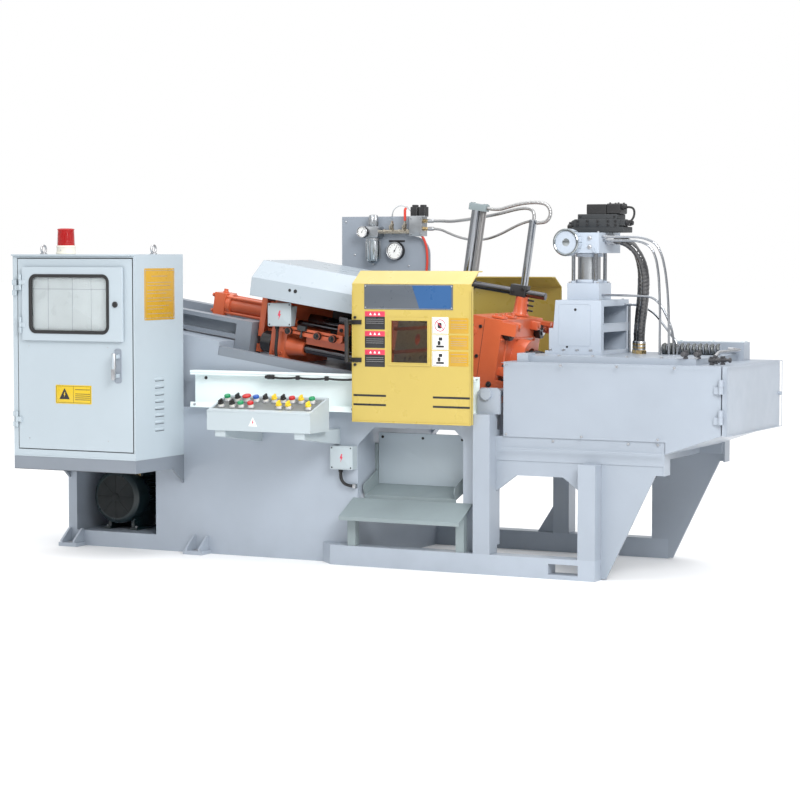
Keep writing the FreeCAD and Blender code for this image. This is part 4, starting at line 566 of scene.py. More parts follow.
def louvre(length, height, out):
    """Pressed scoop: half an ellipse whose size fades out at both ends of its length."""
    t = np.linspace(-1, 1, 11)
    fade = np.sqrt(np.clip(1 - t ** 4, 0.02, 1))[:, None]
    arc = np.linspace(0, math.pi, 8)
    y = np.concatenate([np.cos(arc) * height / 2, [-height / 2, height / 2]])
    z = np.concatenate([np.sin(arc) * out, [-0.5, -0.5]])
    return skin(np.stack([np.broadcast_to(t[:, None] * length / 2, (11, 10)), y * fade, z * fade], -1))


# ---------------------------------------------------------------- cabinet

# Front of the cabinet, in millimetres as every place below.
CABINET_FACE = -907.0


# Sides and top of the cabinet, middle of its side plate and of its vents.
CABINET_SIDE = -475
CABINET_LEFT = -1229
CABINET_TOP = 1564
PLATE_Y = -676.5
PLATE_Z = 1359.5
VENT_Y = -681.5
VENT_LEVELS = np.linspace(664, 922, 8)


def build_cabinet():
    """Door seal, vents, bare side plate, eye collars and lips of the cabinet."""
    seal = put(border(707, 984, 6, [(-0.5, -2), (2.2, -2), (2.2, 0.7), (-0.5, 0.7)]),
               (-842.5, CABINET_FACE, 1049), FRONT)
    add_piece("cabinet_door_seal", seal, "rubber")
    vent = put(louvre(97, 17, 6), (0, 0, 0), RIGHT, UP)
    vents = copies(vent, [(CABINET_SIDE, VENT_Y, z) for z in VENT_LEVELS])
    # Black strips under the louvres are painted shade inside the vent openings.
    slit = put(slab(84, 3, 0.6, 1.4, 0.3), (0, 0, 0), RIGHT, UP)
    slits = copies(slit, [(CABINET_SIDE, VENT_Y, z - 9.5) for z in VENT_LEVELS])
    add_piece("cabinet_vents", vents, "cabinet")
    add_piece("cabinet_vent_slit_shade", slits, "black")
    plate = put(slab(283, 265, 0.9, 5, 0.4), (CABINET_SIDE, PLATE_Y, PLATE_Z), RIGHT, UP)
    add_piece("cabinet_side_plate", plate, "sticker_amber")
    rule = put(border(262, 244, 3, [(-1, -0.2), (1, -0.2), (1, 0.35), (-1, 0.35)]),
               (-474.1, PLATE_Y, PLATE_Z), RIGHT, UP)
    lines = [put(slab(w, 2.2, 0.5, 0.6, 0.2), (-474.1, PLATE_Y - (230 - w) / 2 * k, z), RIGHT, UP) for z, w,
             k in ((1452, 150, 0), (1420, 222, 1), (1404, 214, 1), (1380, 226, 1), (1364, 180, 1),
                   (1340, 220, 1), (1324, 228, 1), (1300, 205, 1), (1284, 150, 1), (1260, 222, 1))]
    add_piece("cabinet_side_rules", join(rule, *lines), "sticker_line", slot="black_steel")
    corners = [(-474.2, PLATE_Y + a * 132, PLATE_Z + b * 123) for a in (-1, 1) for b in (-1, 1)]
    add_piece("cabinet_side_rivets", studs(4, corners, RIGHT), "zinc")
    collar = turned([(19, 0), (19, 4), (15, 6), (10, 7)], 20)
    add_piece("eye_collars", copies(collar, [(-1196, -678.5, CABINET_TOP), (-508, -678.5, CABINET_TOP)]),
              "zinc")
    lip = join(brick((CABINET_LEFT, -923, 1556), (CABINET_SIDE, -907, CABINET_TOP), 1.5, 1, FRONT),
               brick((CABINET_LEFT, -909, 515), (CABINET_SIDE, -906, 523), 1, 0.6, FRONT))
    add_piece("cabinet_lip", lip, "cabinet")
    seam = brick((CABINET_LEFT, -908, 447.5), (CABINET_SIDE, -907, 449.5), 0.8, 0.4, FRONT)
    add_piece("platform_seam", seam, "black")


# Middle of the grip, of the label and of the sign on it.
GRIP_X = -577
LABEL_X = -852.5
LABEL_Z = 843.5
SIGN_X = -908


def build_cabinet_door():
    """Screen, grip, bare label and screws that swing with the cabinet door."""
    screen = put(slab(500, 304, 1.0, 4, 0.4), (-866, -912, 1309), FRONT)
    leaf_piece("operator_screen", screen, "screen")
    lines = join(*[brick((x - 0.9, -913.6, 1159), (x + 0.9, -912.8, 1459), 0.5, 0.3, FRONT)
                   for x in (-1000, -850, -735)], brick((-1110, -913.6, 1384), (-620, -912.8, 1386), 0.5,
                                                        0.3, FRONT))
    leaf_piece("screen_seams", lines, "panel", slot="pipe_grey")
    well = put(sunk_slab(44, 176, 3.0, 4, 2.4, 14), (GRIP_X, CABINET_FACE - 1, 996), FRONT)
    leaf_piece("grip_well", well, "panel", slot="bright_steel")
    grip = turned([(5, 929), (10, 930), (11.6, 934), (11.6, 1058), (10, 1062), (5, 1063)], 20)
    shank = rod_between((GRIP_X, -942, 948), (GRIP_X, -909, 948), 9.5)
    lever = put(slab(23, 60, 12, 9, 3), (GRIP_X, -946, 955), FRONT)
    leaf_piece("cabinet_grip", join(put(grip, (GRIP_X, -946.4, 0)), shank, lever), "zinc")
    label = put(slab(223, 97, 0.9, 4, 0.4), (LABEL_X, CABINET_FACE - 1, LABEL_Z), FRONT)
    leaf_piece("cabinet_label", label, "sticker_yellow")
    rule = join(put(border(211, 85, 3, [(-0.8, -0.2), (0.8, -0.2), (0.8, 0.35), (-0.8, 0.35)]),
                    (LABEL_X, CABINET_FACE - 1.9, LABEL_Z), FRONT),
                brick((-853.3, CABINET_FACE - 2.3, 801), (-851.7, CABINET_FACE - 1.7, 886), 0.5, 0.2, FRONT))
    sign = put(flat_shape(np.array(TRIANGLE) * 4.6), (SIGN_X, CABINET_FACE - 1.9, 846), FRONT)
    lines = [front_slab((-842, -750), (z, z + 3), 0.5, 0.6, CABINET_FACE - 1.9)
             for z in (868, 846, 836, 826, 816)]
    leaf_piece("cabinet_label_rule", join(rule, sign, *lines), "sticker_black", slot="black_steel")
    flash = put(sized(flat_shape(FLASH), 0.62), (SIGN_X, CABINET_FACE - 2.4, 842), FRONT)
    leaf_piece("cabinet_label_flash", flash, "sticker_yellow")
    screws = studs(3.2, [(x, CABINET_FACE - 1, z) for x in (-1130, -640) for z in (610, 1090)])
    leaf_piece("cabinet_door_screws", screws, "zinc")


# Hinge line of the flap and middle of its pane.
FLAP_HINGE_X = -1167
FLAP_HINGE_Y = -930
PANE_X = -865
PANE_Z = 1309


def build_window_flap():
    """Hinged window of the cabinet: frame, hinge halves, gasket, pane and round lock."""
    width, height, front = 621.0, 380.0, -927.0
    middle = (-848.5, -913, PANE_Z)
    leaf = framed((width, height, 5), (482, 292, 34), (-16.5, 0), 14, 1.6)
    halves = [brick((FLAP_HINGE_X, FLAP_HINGE_Y, z + 28), (-1137, -927, z + 52), 2, 1, FRONT)
              for z in (1159, 1379)]
    knuckles = [rod_between((FLAP_HINGE_X, FLAP_HINGE_Y, z + 27.5), (FLAP_HINGE_X, FLAP_HINGE_Y, z + 52.5),
                            7, 16) for z in (1159, 1379)]
    add_piece("flap_frame", join(put(leaf, middle, FRONT), *halves, *knuckles), "cabinet", body="flap_leaf",
              stands_for=["window_flap"])
    seal = border(490, 300, 38, [(-14, -8), (1, -8), (3, -1), (3, 3), (0.5, 5), (-11, 5), (-14, 2)])
    add_piece("flap_gasket", put(seal, (PANE_X, front, PANE_Z), FRONT), "rubber", body="flap_leaf")
    add_piece("flap_pane", put(slab(474, 284, 4, 30, 0.5), (PANE_X, -919, PANE_Z), FRONT), "pane",
              body="flap_leaf")
    lock = join(turned([(15.5, 0), (15.5, 5), (13.5, 7.5), (11, 8)], 28),
                put(slab(3.2, 15, 1.2, 1.4, 0.4), (0, 0, 8)))
    add_piece("flap_lock", put(lock, (-580, front, PANE_Z), FRONT), "handle", body="flap_leaf")


# Axis of the beacon.
BEACON_X = -1053


def build_beacon():
    """Signal lamp: cream foot with a collar, ribbed red lens with a domed cap."""
    foot = turned([(50, 0), (52, 2), (52, 9), (49.5, 11), (49, 33), (51, 35), (51, 43), (47, 46)], 40)
    add_piece("beacon_foot", put(foot, (BEACON_X, -678, 1564)), "cream", stands_for=["beacon"])
    z = np.linspace(46, 126, 65)
    body = 46 - (z - 46) * 0.035 + 1.1 * np.cos((z - 46) * 2 * math.pi / 5.0)
    lens = np.column_stack([body, z])
    cap = [(44.5, 127), (44.5, 131), (40, 134), (26, 135.6), (8, 136)]
    add_piece("beacon_lens", put(turned(np.vstack([lens, cap]), 40), (BEACON_X, -678, 1564)), "red_lens")
    add_piece("beacon_screw", studs(3, [(BEACON_X, -729, 1585)]), "zinc")


# ---------------------------------------------------------------- motor bay

# Faces of the motor's cowl and shell.
COWL_Y = -382
SHELL_Y = -312


def build_motor():
    """Pump motor: finned shell, fan cowl with a grille, terminal box, feet and plate."""
    x, z = -952.0, 262.0
    shell = fluted(143, 13, 44, [(0.97, 40), (1.0, 43), (1.0, 205), (0.97, 208)], 4)
    core = turned([(120, -12), (128, -8), (128, 214), (118, 226), (96, 232), (90, 290)], 40)
    foot = join(brick((x - 110, -345, 82), (x - 62, -110, 96), 4, 2),
                brick((x + 62, -345, 82), (x + 110, -110, 96), 4, 2),
                brick((x - 84, -330, 92), (x - 64, -125, 165), 3, 1),
                brick((x + 64, -330, 92), (x + 84, -125, 165), 3, 1))
    terminal = brick((x + 20, -290, z + 108), (x + 112, -190, z + 145), 6, 3)
    body = join(put(shell, (x, SHELL_Y, z), BACK), put(core, (x, SHELL_Y, z), BACK), foot)
    add_piece("motor_shell", body, "motor", stands_for=["pump_motor"])
    cowl = turned([(110, 0.5), (118, 0.8), (132, 5), (142, 14), (145, 26), (145, 112), (143, 114)], 48)
    add_piece("motor_cowl", put(cowl, (x, COWL_Y, z), BACK), "motor")
    face = turned([(116, -0.3), (116, 0.9), (100, 1.4), (30, 1.6)], 48)
    add_piece("motor_cowl_face", put(face, (x, COWL_Y, z), FRONT), "cowl_face")
    add_piece("motor_terminal_box", terminal, "motor")
    rings = join(*[wheel_ring(r, 1.6, 48, 6) for r in (30, 44, 58, 72, 86, 100)])
    arms = []
    for k in range(8):
        a = k * math.pi / 4
        arms.append(rod_between((18 * math.cos(a), 18 * math.sin(a), 1),
                                (112 * math.cos(a), 112 * math.sin(a), 1), 2.2, 8, 0.4))
    hub = turned([(22, -1), (22, 4), (18, 6), (5, 6.5)], 28)
    grille = join(rings, hub, *arms)
    add_piece("motor_grille", put(grille, (x, COWL_Y, z), FRONT), "cowl_face")
    bolts = copies(hex_head(8, 7), [(x + a * 92, y, 96) for a in (-1, 1) for y in (-320, -140)])
    add_piece("motor_foot_bolts", bolts, "zinc")
    plate = put(slab(70, 34, 1, 2, 0.4), (x + 66, -291, z + 126), FRONT)
    add_piece("motor_plate", plate, "brass")


# ---------------------------------------------------------------- console, rails and boxes

CONSOLE_TILT = math.atan2(67, 195)
CONSOLE_OUT = (0, -math.sin(CONSOLE_TILT), math.cos(CONSOLE_TILT))
CONSOLE_UP = (0, math.cos(CONSOLE_TILT), math.sin(CONSOLE_TILT))


def on_console(part, share, row):
    """The part on the console's tray: share of its length, row -1 in front to 1 behind."""
    at = np.array([-86 + 571 * share, -726.5,
                   809.6]) + row * 40 * np.array(CONSOLE_UP) + 1.6 * np.array(CONSOLE_OUT)
    return put(part, at, CONSOLE_OUT, CONSOLE_UP)


def sized(part, scale):
    """The part made larger about its own origin."""
    return part[0] * scale, part[1]


def flat_shape(outline, thick=0.5):
    """Thin plate with any outline, its face towards +Z."""
    outline = np.asarray(outline, float)
    return skin([np.column_stack([outline, np.full(len(outline), z)]) for z in (-0.2, thick)])


TRIANGLE = [(-7, -6), (7, -6), (0, 6.5)]
FLASH = [(-7, 1), (1, 21), (7, 19), (3, 5), (9, 5), (-4, -22), (-1, -3), (-7, -3)]


def build_console():
    """Control panel sheet with its push buttons, selectors, stop button and bare sign."""
    sheet = slab(568, 164, 1.6, 3, 0.5)
    add_piece("console_sheet", on_console((sheet[0] - [0, 0, 1.6], sheet[1]), 0.5, 0), "console_sheet")
    heads = [(0.05, 1, "green"), (0.155, 1, "black"), (0.25, 1, "stop"), (0.345, 1, "blue"),
             (0.44, 1, "black"), (0.53, 1, "yellow"), (0.62, 1, "black"), (0.71, 1, "red"),
             (0.80, 1, "yellow"), (0.91, 1, "green"), (0.06, -1, "black"), (0.175, -1, "black"),
             (0.265, -1, "green"), (0.365, -1, "red"), (0.65, -1, "yellow"), (0.745, -1, "yellow"),
             (0.945, -1, "yellow")]
    bezel = sized(turned([(15, 0), (15, 2.5), (13.2, 4.5), (11, 4.6)], 24), 1.3)
    sleeve = sized(turned([(10.5, 3), (10.5, 15), (9.5, 16)], 20), 1.3)
    button = sized(turned([(11, 13), (12, 14), (12, 21), (10.5, 23.5), (6, 24.2)], 24), 1.35)
    selector = sized(join(turned([(11.5, 12), (11.5, 16), (10, 17.5)], 24),
                          put(slab(8, 25, 13, 2.5, 2), (0, 0, 16))), 1.35)
    stop = sized(turned([(8, 12), (9, 17), (19, 20), (20.5, 23), (19, 28), (12, 31), (4, 32)], 28), 1.15)
    add_piece("button_bezels", join(*[on_console(bezel, a, b) for a, b, _ in heads]), "zinc")
    add_piece("button_sleeves", join(*[on_console(sleeve, a, b) for a, b, _ in heads]), "cap_white")
    for colour, shape, finish, slot in (("green", button, "cap_green", "motor_green"),
                                        ("blue", button, "cap_blue", "valve_dark"),
                                        ("red", button, "cap_red", "beacon_red"),
                                        ("stop", stop, "cap_red", "beacon_red"),
                                        ("yellow", selector, "cap_yellow", "guard_yellow"),
                                        ("black", selector, "handle", "handle_black")):
        chosen = [on_console(shape, a, b) for a, b, kind in heads if kind == colour]
        add_piece("buttons_" + colour, join(*chosen), finish, slot=slot)
    screws = join(*[on_console(dome_screw(3.2), a, b * 1.75) for a in (0.02, 0.5, 0.98) for b in (-1, 1)])
    add_piece("console_screws", screws, "zinc")
    add_piece("console_hem", brick((-98, -831, 774), (497, -829, 784), 1, 0.6, FRONT), "white")
    plate = put(flat_shape(np.array(TRIANGLE) * 3.6), (170, -830, 730), FRONT)
    add_piece("console_sign", plate, "sticker_white")
    add_piece("console_flash", put(sized(flat_shape(FLASH), 0.62), (170, -830.6, 727), FRONT), "sticker_red")


def lid(width, height, thick=7):
    """Box lid with a raised rim round its edge."""
    return join(slab(width, height, thick, 6, 1.6),
                put(border(width - 10, height - 10, 4, [(-1, -0.3), (1, -0.3), (0.6, 0.7), (-0.6, 0.7)]),
                    (0, 0, thick)))


# Middles of the two box lids.
UPPER_BOX_X = 20.5
UPPER_BOX_Z = 1251
LOWER_BOX_X = 493
LOWER_BOX_Z = 538.5


def build_boxes():
    """Lids, screws, signs and glands of the two junction boxes."""
    lids = join(put(lid(139, 122), (UPPER_BOX_X, -297, UPPER_BOX_Z), FRONT),
                put(lid(128, 119), (LOWER_BOX_X, -496, LOWER_BOX_Z), FRONT))
    add_piece("box_lids", lids, "white")
    corners = [(UPPER_BOX_X + a * 60, -304, UPPER_BOX_Z + b * 51) for a in (-1, 1) for b in (-1, 1)]
    corners += [(LOWER_BOX_X + a * 54, -503, LOWER_BOX_Z + b * 50) for a in (-1, 1) for b in (-1, 1)]
    add_piece("box_screws", studs(4.2, corners), "black")
    flashes = [put(sized(flat_shape(FLASH), 1.15), (UPPER_BOX_X, -304.2, 1249), FRONT),
               put(flat_shape(FLASH), (LOWER_BOX_X, -503.2, 538), FRONT)]
    add_piece("box_flashes", join(*flashes), "sticker_red")
    gland = turned([(14, 0), (14, 5), (13, 5.2), (13, 12), (10.5, 18), (8, 19)], 6)
    nuts = join(put(gland, (474, -473, 480), DOWN), put(gland, (-14, -266, 1191), DOWN))
    add_piece("box_glands", nuts, "rubber")


# Front and ends of the front rail.
RAIL_FACE = -507
RAIL_LEFT = -398
RAIL_RIGHT = 1240


def build_rails():
    """Cable and clips along the front rail, screws and hems of both guard rails."""
    t = np.linspace(0, 1, 60)[:, None]
    sag = np.concatenate([78 + 505 * t, np.full((60, 1), -513.0),
                          938 - 5 * np.abs(np.sin(t * 3 * math.pi))], 1)
    cable = along_path(sag, circle(5, 10))
    ends = rod_between((-300, RAIL_FACE, 925), (-300, -511, 925), 9)
    add_piece("rail_cable", join(cable, ends, rod_between((66, RAIL_FACE, 938), (66, -520, 938), 9)),
              "rubber")
    clip = brick((-9, -521, 927), (9, RAIL_FACE, 949), 3, 1.5, FRONT)
    add_piece("rail_cable_clips", copies(clip, [(x, 0, 0) for x in (80, 100, 248, 416, 575)]), "handle")
    bolt = put(cap_screw(6.5, 6), (0, 0, 0), FRONT)
    add_piece("rail_screws", copies(bolt, [(x, RAIL_FACE, 786) for x in (-370, -160, 560, 1215)]), "zinc")
    hem = join(brick((RAIL_LEFT, -511, 950), (RAIL_RIGHT, -506, 963), 3, 2, FRONT),
               brick((RAIL_LEFT, 506, 950), (RAIL_RIGHT, 511, 963), 3, 2, BACK))
    add_piece("rail_hems", hem, "rail")
    step = brick((RAIL_LEFT, -510, 770), (560, -506, 778), 1.5, 1, FRONT)
    add_piece("rail_foot_hem", step, "rail")


# ---------------------------------------------------------------- sliding guard

GUARD_FACE = -570.0


def front_slab(x, z, thick, corner=2.0, face=GUARD_FACE, edge=0.4):
    """Thin slab on a face that looks to the front, between two X and two Z levels."""
    return put(slab(x[1] - x[0], z[1] - z[0], thick, corner, edge),
               ((x[0] + x[1]) / 2, face, (z[0] + z[1]) / 2), FRONT)


# Middle of the white labels.
LABEL_MIDDLE = 1081.5


def build_guard():
    """Bare nameplate and labels, stripes, window seal, hems and bolts that ride on the sliding guard."""
    rear_x, low, high = 1151, 1292, 1416
    guard_piece("guard_nameplate", front_slab((662, rear_x), (low, high), 1.6, 3), "plate_grey")
    wedge = np.array([[968, low + 6], [rear_x - 8, low + 6], [rear_x - 8, high - 6], [928, high - 6]], float)
    rings = [np.column_stack([wedge[:, 0], np.full(4, y), wedge[:, 1]])
             for y in (GUARD_FACE - 1.2, GUARD_FACE - 2.2)]
    guard_piece("guard_nameplate_wedge", skin(rings), "plate_blue")
    bars = join(*[front_slab((670, 1143), (z, z + 1.6), 2.0, 0.6) for z in (low + 3.4, high - 5)])
    rivets = studs(4, [(x, GUARD_FACE - 1.6, z) for x in (669, 1144) for z in (low + 9, high - 9)])
    guard_piece("guard_nameplate_trim", join(bars, rivets), "zinc")
    left_z = [(1192, 1282), (1100, 1184), (1006, 1092)]
    guard_piece("guard_labels_red", join(*[front_slab((665, 777), (b - 26, b), 0.8) for a, b in left_z]),
                "sticker_red")
    guard_piece("guard_labels_dark", join(*[front_slab((665, 777), (a, b - 26), 0.8) for a, b in left_z]),
                "sticker_black")
    right_z = [(1176, 1257), (1097, 1172), (1016, 1092)]
    guard_piece("guard_labels_white", join(*[front_slab((1037, 1126), z, 0.8) for z in right_z]),
                "sticker_white")
    bands = join(*[front_slab((1132, 1235), (a + 2, b - 3), 0.8) for a, b in right_z])
    guard_piece("guard_labels_yellow", bands, "sticker_amber")
    marks = [put(flat_shape(TRIANGLE), (x, GUARD_FACE - 0.8, b - 13), FRONT) for _, b in left_z
             for x in (697, 721, 745)]
    guard_piece("guard_label_triangles", join(*marks), "sticker_white")
    rules = [front_slab((672, 770), (z, z + 1.8), 0.4, 0.4, GUARD_FACE - 0.8) for a, b in left_z
             for z in (b - 40, b - 50, b - 60)]
    rules += [front_slab((1140, 1227), (z, z + 1.8), 0.4, 0.4, GUARD_FACE - 0.8) for a, b in right_z
              for z in (b - 17, b - 34, b - 44, b - 54)]
    guard_piece("guard_label_rules", join(*rules), "sticker_line", slot="handle_black")
    ring = put(wheel_ring(28, 2.2, 40, 6), (0, 0, 0), FRONT)
    bar = put(slab(56, 4, 0.8, 1, 0.3), (0, 0, 0), FRONT, (0.7, 0, 0.7))
    sign = copies(join((ring[0] * [1, 0.3, 1], ring[1]), bar), [(LABEL_MIDDLE, GUARD_FACE - 0.8, 1216.5)])
    guard_piece("guard_label_ring", sign, "sticker_red")
    blocks = [front_slab(x, (m + low, m + top), 0.5, 3, GUARD_FACE - 0.8) for m in (1134.5, 1054)
              for x, low, top in (((1060, 1103), -26, -16), ((1068, 1084), -14, 6), ((1074, 1094), 8, 24))]
    blocks += [front_slab((1068, 1090), (1202, 1230), 0.5, 6, GUARD_FACE - 0.8)]
    guard_piece("guard_label_blocks", join(*blocks), "sticker_black")
    frames = join(*[put(border(81, b - a - 8, 2, [(-0.7, -0.2), (0.7, -0.2), (0.7, 0.3), (-0.7, 0.3)]),
                        (LABEL_MIDDLE, GUARD_FACE - 0.8, (a + b) / 2), FRONT) for a, b in right_z])
    guard_piece("guard_label_frames", frames, "sticker_black")
    stripes = join(*[front_slab(x, (z - 5.2, z + 5.2), 0.6, 1) for z in (863, 817)
                     for x in ((600, 783), (1042, 1243))])
    guard_piece("guard_stripes", stripes, "sticker_black")
    seal = border(206, 212, 4, [(-3, -6), (1.5, -6), (2.5, 0.5), (1.5, 2.5), (-2, 2.5), (-3, 0)])
    guard_piece("guard_window_seal", put(seal, (913, GUARD_FACE - 4, 1134), FRONT), "yellow")
    feet = join(*[put(cap_screw(7, 8), (611, GUARD_FACE - 0.5, z), FRONT) for z in (1015, 1251)])
    guard_piece("guard_handle_screws", feet, "black")
    edge_hem = join(brick((593, -574, 731), (597, -566, 1385), 1.5, 1, LEFT),
                    brick((1245, -574, 731), (1249, -566, 1385), 1.5, 1, RIGHT),
                    brick((593, -575, 729), (1249, -567, 736), 2, 1, FRONT))
    guard_piece("guard_hems", edge_hem, "yellow")


def build_rear_guard():
    """Hems on the edges of the rear guard."""
    hems = join(brick((593, 561, 731), (599, 570, 1370), 1.5, 1, LEFT),
                brick((1233, 561, 731), (1239, 570, 1370), 1.5, 1, RIGHT),
                brick((593, 560, 729), (1239, 569.5, 737), 2, 1, BACK))
    add_piece("rear_guard_hems", hems, "yellow")
    bolts = studs(6, [(x, 564, z) for x in (640, 916, 1190) for z in (800, 925)])
    add_piece("rear_guard_bolts", bolts, "zinc")


# ---------------------------------------------------------------- clamp unit

BAR_PLACES = [(a * 190, b * 134) for a in (-1, 1) for b in (-1, 1)]


def on_bars(part, s, out=1):
    """The part once on each tie bar, at s along the slope."""
    ahead = np.array(SLOPE) * out
    return join(*[put(part, on_slope(s, y, n), ahead, SLOPE_UP) for y, n in BAR_PLACES])


# Level of the limit bar's knobs, and the places across of the ejector rod and the switch.
LIMIT_LEVEL = -49
EJECTOR_Y = -185
SWITCH_Y = -273


def build_clamp():
    """Bar nuts and ends, bolts, cylinder rings, ejector rod and limit knobs of the clamp unit."""
    nut = fluted(55.5, 3, 8, [(0.94, 0), (1, 3), (1, 58), (0.94, 61)], 6)
    end_nut = fluted(39, 2.6, 6, [(0.92, 0), (1, 3), (1, 31), (0.92, 35)], 6)
    cap = turned([(20, 30), (20, 41), (17, 44), (5, 45)], 28)
    add_piece("bar_nuts", join(on_bars(nut, -115), on_bars(end_nut, 1255)), "black")
    add_piece("bar_ends", join(on_bars(cap, 1254), on_bars(turned([(22.8, 0), (22.8, 4), (19, 7), (6, 8)],
                                                                  28), -120, -1)), "chrome")
    rear = [put(hex_head(11, 12), on_slope(-541, a * 42, b * 42), SLOPE_BACK) for a in (-1, 1)
            for b in (-1, 1)]
    struts = [put(hex_head(17, 14), on_slope(-155, a * 150, b * 80), SLOPE_BACK) for a in (-1, 1)
              for b in (-1, 1)]
    sides = [put(cap_screw(9, 8), on_slope(s, -235, n), FRONT) for s in (-30, 16) for n in (60, 150, -175)]
    add_piece("clamp_bolts", join(*rear, *struts, *sides), "orange")
    flange = put(turned([(58, 0), (60, 3), (60, 24), (57, 27), (50, 28)], 40), on_slope(-465, 0, 0), SLOPE)
    port = [put(turned([(15, -10), (15, 8), (12, 10), (12, 20), (9, 21)], 20), on_slope(s, 0, 59), SLOPE_UP)
            for s in (-500, -178)]
    add_piece("cylinder_rings", join(flange, *port), "orange")
    rod = slope_rod((-50, EJECTOR_Y, -6), (322, EJECTOR_Y, -6), 14)
    sleeve = slope_rod((40, EJECTOR_Y, -6), (70, EJECTOR_Y, -6), 20)
    add_piece("ejector_rod", rod, "dark_chrome")
    clevis = join(slope_brick((318, -212, -34), (368, -158, 26), 8, 4, "front"), sleeve)
    add_piece("ejector_clevis", clevis, "orange")
    pin = put(cap_screw(10, 8), on_slope(343, -212, -4), FRONT)
    knobs = [put(fluted(20.5, 1.4, 20, [(0.86, 0), (1, 3), (1, 24), (0.86, 27.6)]),
                 on_slope(s, -261, LIMIT_LEVEL), FRONT) for s in (68, 240, 330)]
    studs = [put(turned([(7, 0), (7, 9), (5, 10)], 12), on_slope(s, -288, LIMIT_LEVEL), FRONT)
             for s in (68, 240, 330)]
    add_piece("limit_knobs", join(pin, *knobs, *studs), "handle")
    switch = join(slope_brick((120, -284, -36), (168, -262, -10), 4, 2, "front"),
                  slope_rod((144, SWITCH_Y, -36), (144, SWITCH_Y, -58), 5),
                  slope_rod((140, SWITCH_Y, -66), (148, SWITCH_Y, -66), 10))
    add_piece("limit_switch", switch, "valve")


def build_die_faces():
    """Machined face of the moving platen, between its slots, with the bolts of its rim."""
    strips = [slope_brick((679.6, -246, low), (680.8, 246, high), 1, 0.4, "ahead") for low,
              high in ((69, 194), (-194, -69))]
    middle = framed((492, 102, 1), (60, 60, 29.9), (0, 0), 1.2, 0.4)
    middle = put(middle, on_slope(679.6, 0, 0), SLOPE, SLOPE_UP)
    add_piece("moving_die_face", join(*strips, middle), "machined", body="clamp_carriage")
    # Flat black discs on the die face: painted shade inside its bolt holes.
    holes = [put(turned([(9, 0), (9, 0.5), (4, 0.6)], 16), on_slope(680.7, y, n), SLOPE)
             for y in (-120, -60, 60, 120) for n in (-98, 98)]
    add_piece("moving_die_hole_shade", join(*holes), "black", body="clamp_carriage")
    rear = [put(cap_screw(9, 8), on_slope(560, y, n), SLOPE_BACK) for y in (-90, 90) for n in (-150, 150)]
    add_piece("moving_platen_bolts", join(*rear), "black", body="clamp_carriage")
    shoes = [slope_brick((575, a * 250 - 16, -206), (665, a * 250 + 16, -196), 3, 1.5)
             for a in (-0.86, 0.86)]
    add_piece("moving_platen_shoes", join(*shoes), "brass", body="clamp_carriage")


def build_fixed_platen():
    """Studs, seam, pads, cast ring with lugs and ribs, bosses and die face of the fixed platen."""
    studs = [slope_rod((1256, y, n), (1318, y, n), 9, 16) for y, n in ((-168, -38), (168, -38))]
    nuts = [put(hex_head(14, 14), on_slope(1256, y, n), SLOPE) for y, n in ((-168, -38), (168, -38))]
    front = [put(cap_screw(9, 8), on_slope(s, -247, n), FRONT) for s in (1092, 1140) for n in (-150, 0, 150)]
    front += [put(hex_head(13, 11), on_slope(1225, -247, -130), FRONT)]
    add_piece("fixed_platen_studs", join(*studs, *nuts, *front), "black")
    seam = [slope_brick((1155.4, -248, -190), (1157, -246.6, 190), 0.6, 0.4, "front")]
    add_piece("fixed_platen_seam", join(*seam), "black")
    pads = [slope_brick((1172, y - 26, 200), (1238, y + 26, 212), 5, 2.5) for y in (-180, -60)]
    caps = [put(cap_screw(8, 8), on_slope(s, y, 212), SLOPE_UP) for s in (1186, 1224) for y in (-180, -60)]
    add_piece("fixed_platen_pads", join(*pads, *caps), "orange")
    ring = put(framed((168, 168, 83.9), (128, 128, 63.9), (0, 0), 40, 4), on_slope(1262, 0, 0), SLOPE,
               SLOPE_UP)
    lugs = [slope_brick((1250, y - 18, n - 22), (1296, y + 18, n + 22), 8, 4, "front") for y, n in
            ((-205, 150), (-120, 165), (205, 150), (120, 165), (-205, -60), (205, -60))]
    ribs = [slope_brick((1246, -240, n - 5), (1262, 240, n + 5), 2, 1.5, "ahead") for n in (100, -150)]
    ribs += [slope_brick((1246, y - 5, -186), (1262, y + 5, 186), 2, 1.5, "ahead") for y in (-170, 170)]
    pins = [slope_rod((1296, y, n), (1302, y, n), 10, 18) for y,
            n in ((-205, 150), (-120, 165), (205, 150), (120, 165))]
    add_piece("fixed_platen_casting", join(ring, *lugs, *ribs, *pins), "orange")
    boss = [slope_rod((s, -248, n), (s, -252, n), 22, 28) for s, n in ((1100, -120), (1100, 120))]
    add_piece("fixed_platen_bosses", join(*boss), "orange")
    face = framed((484, 380, 6), (110, 110, 54.9), (0, 0), 0.8, 0.3)
    add_piece("fixed_die_face", put(face, on_slope(1080, 0, 0), SLOPE_BACK, SLOPE_UP), "machined")


# Places of the mast, the column and the cross rod in the clamp frame.
MAST_S = 1169
COLUMN_S = 845
MAST_Y = 150
CROSS_ROD_Y = 144
CROSS_ROD_LEVEL = 318


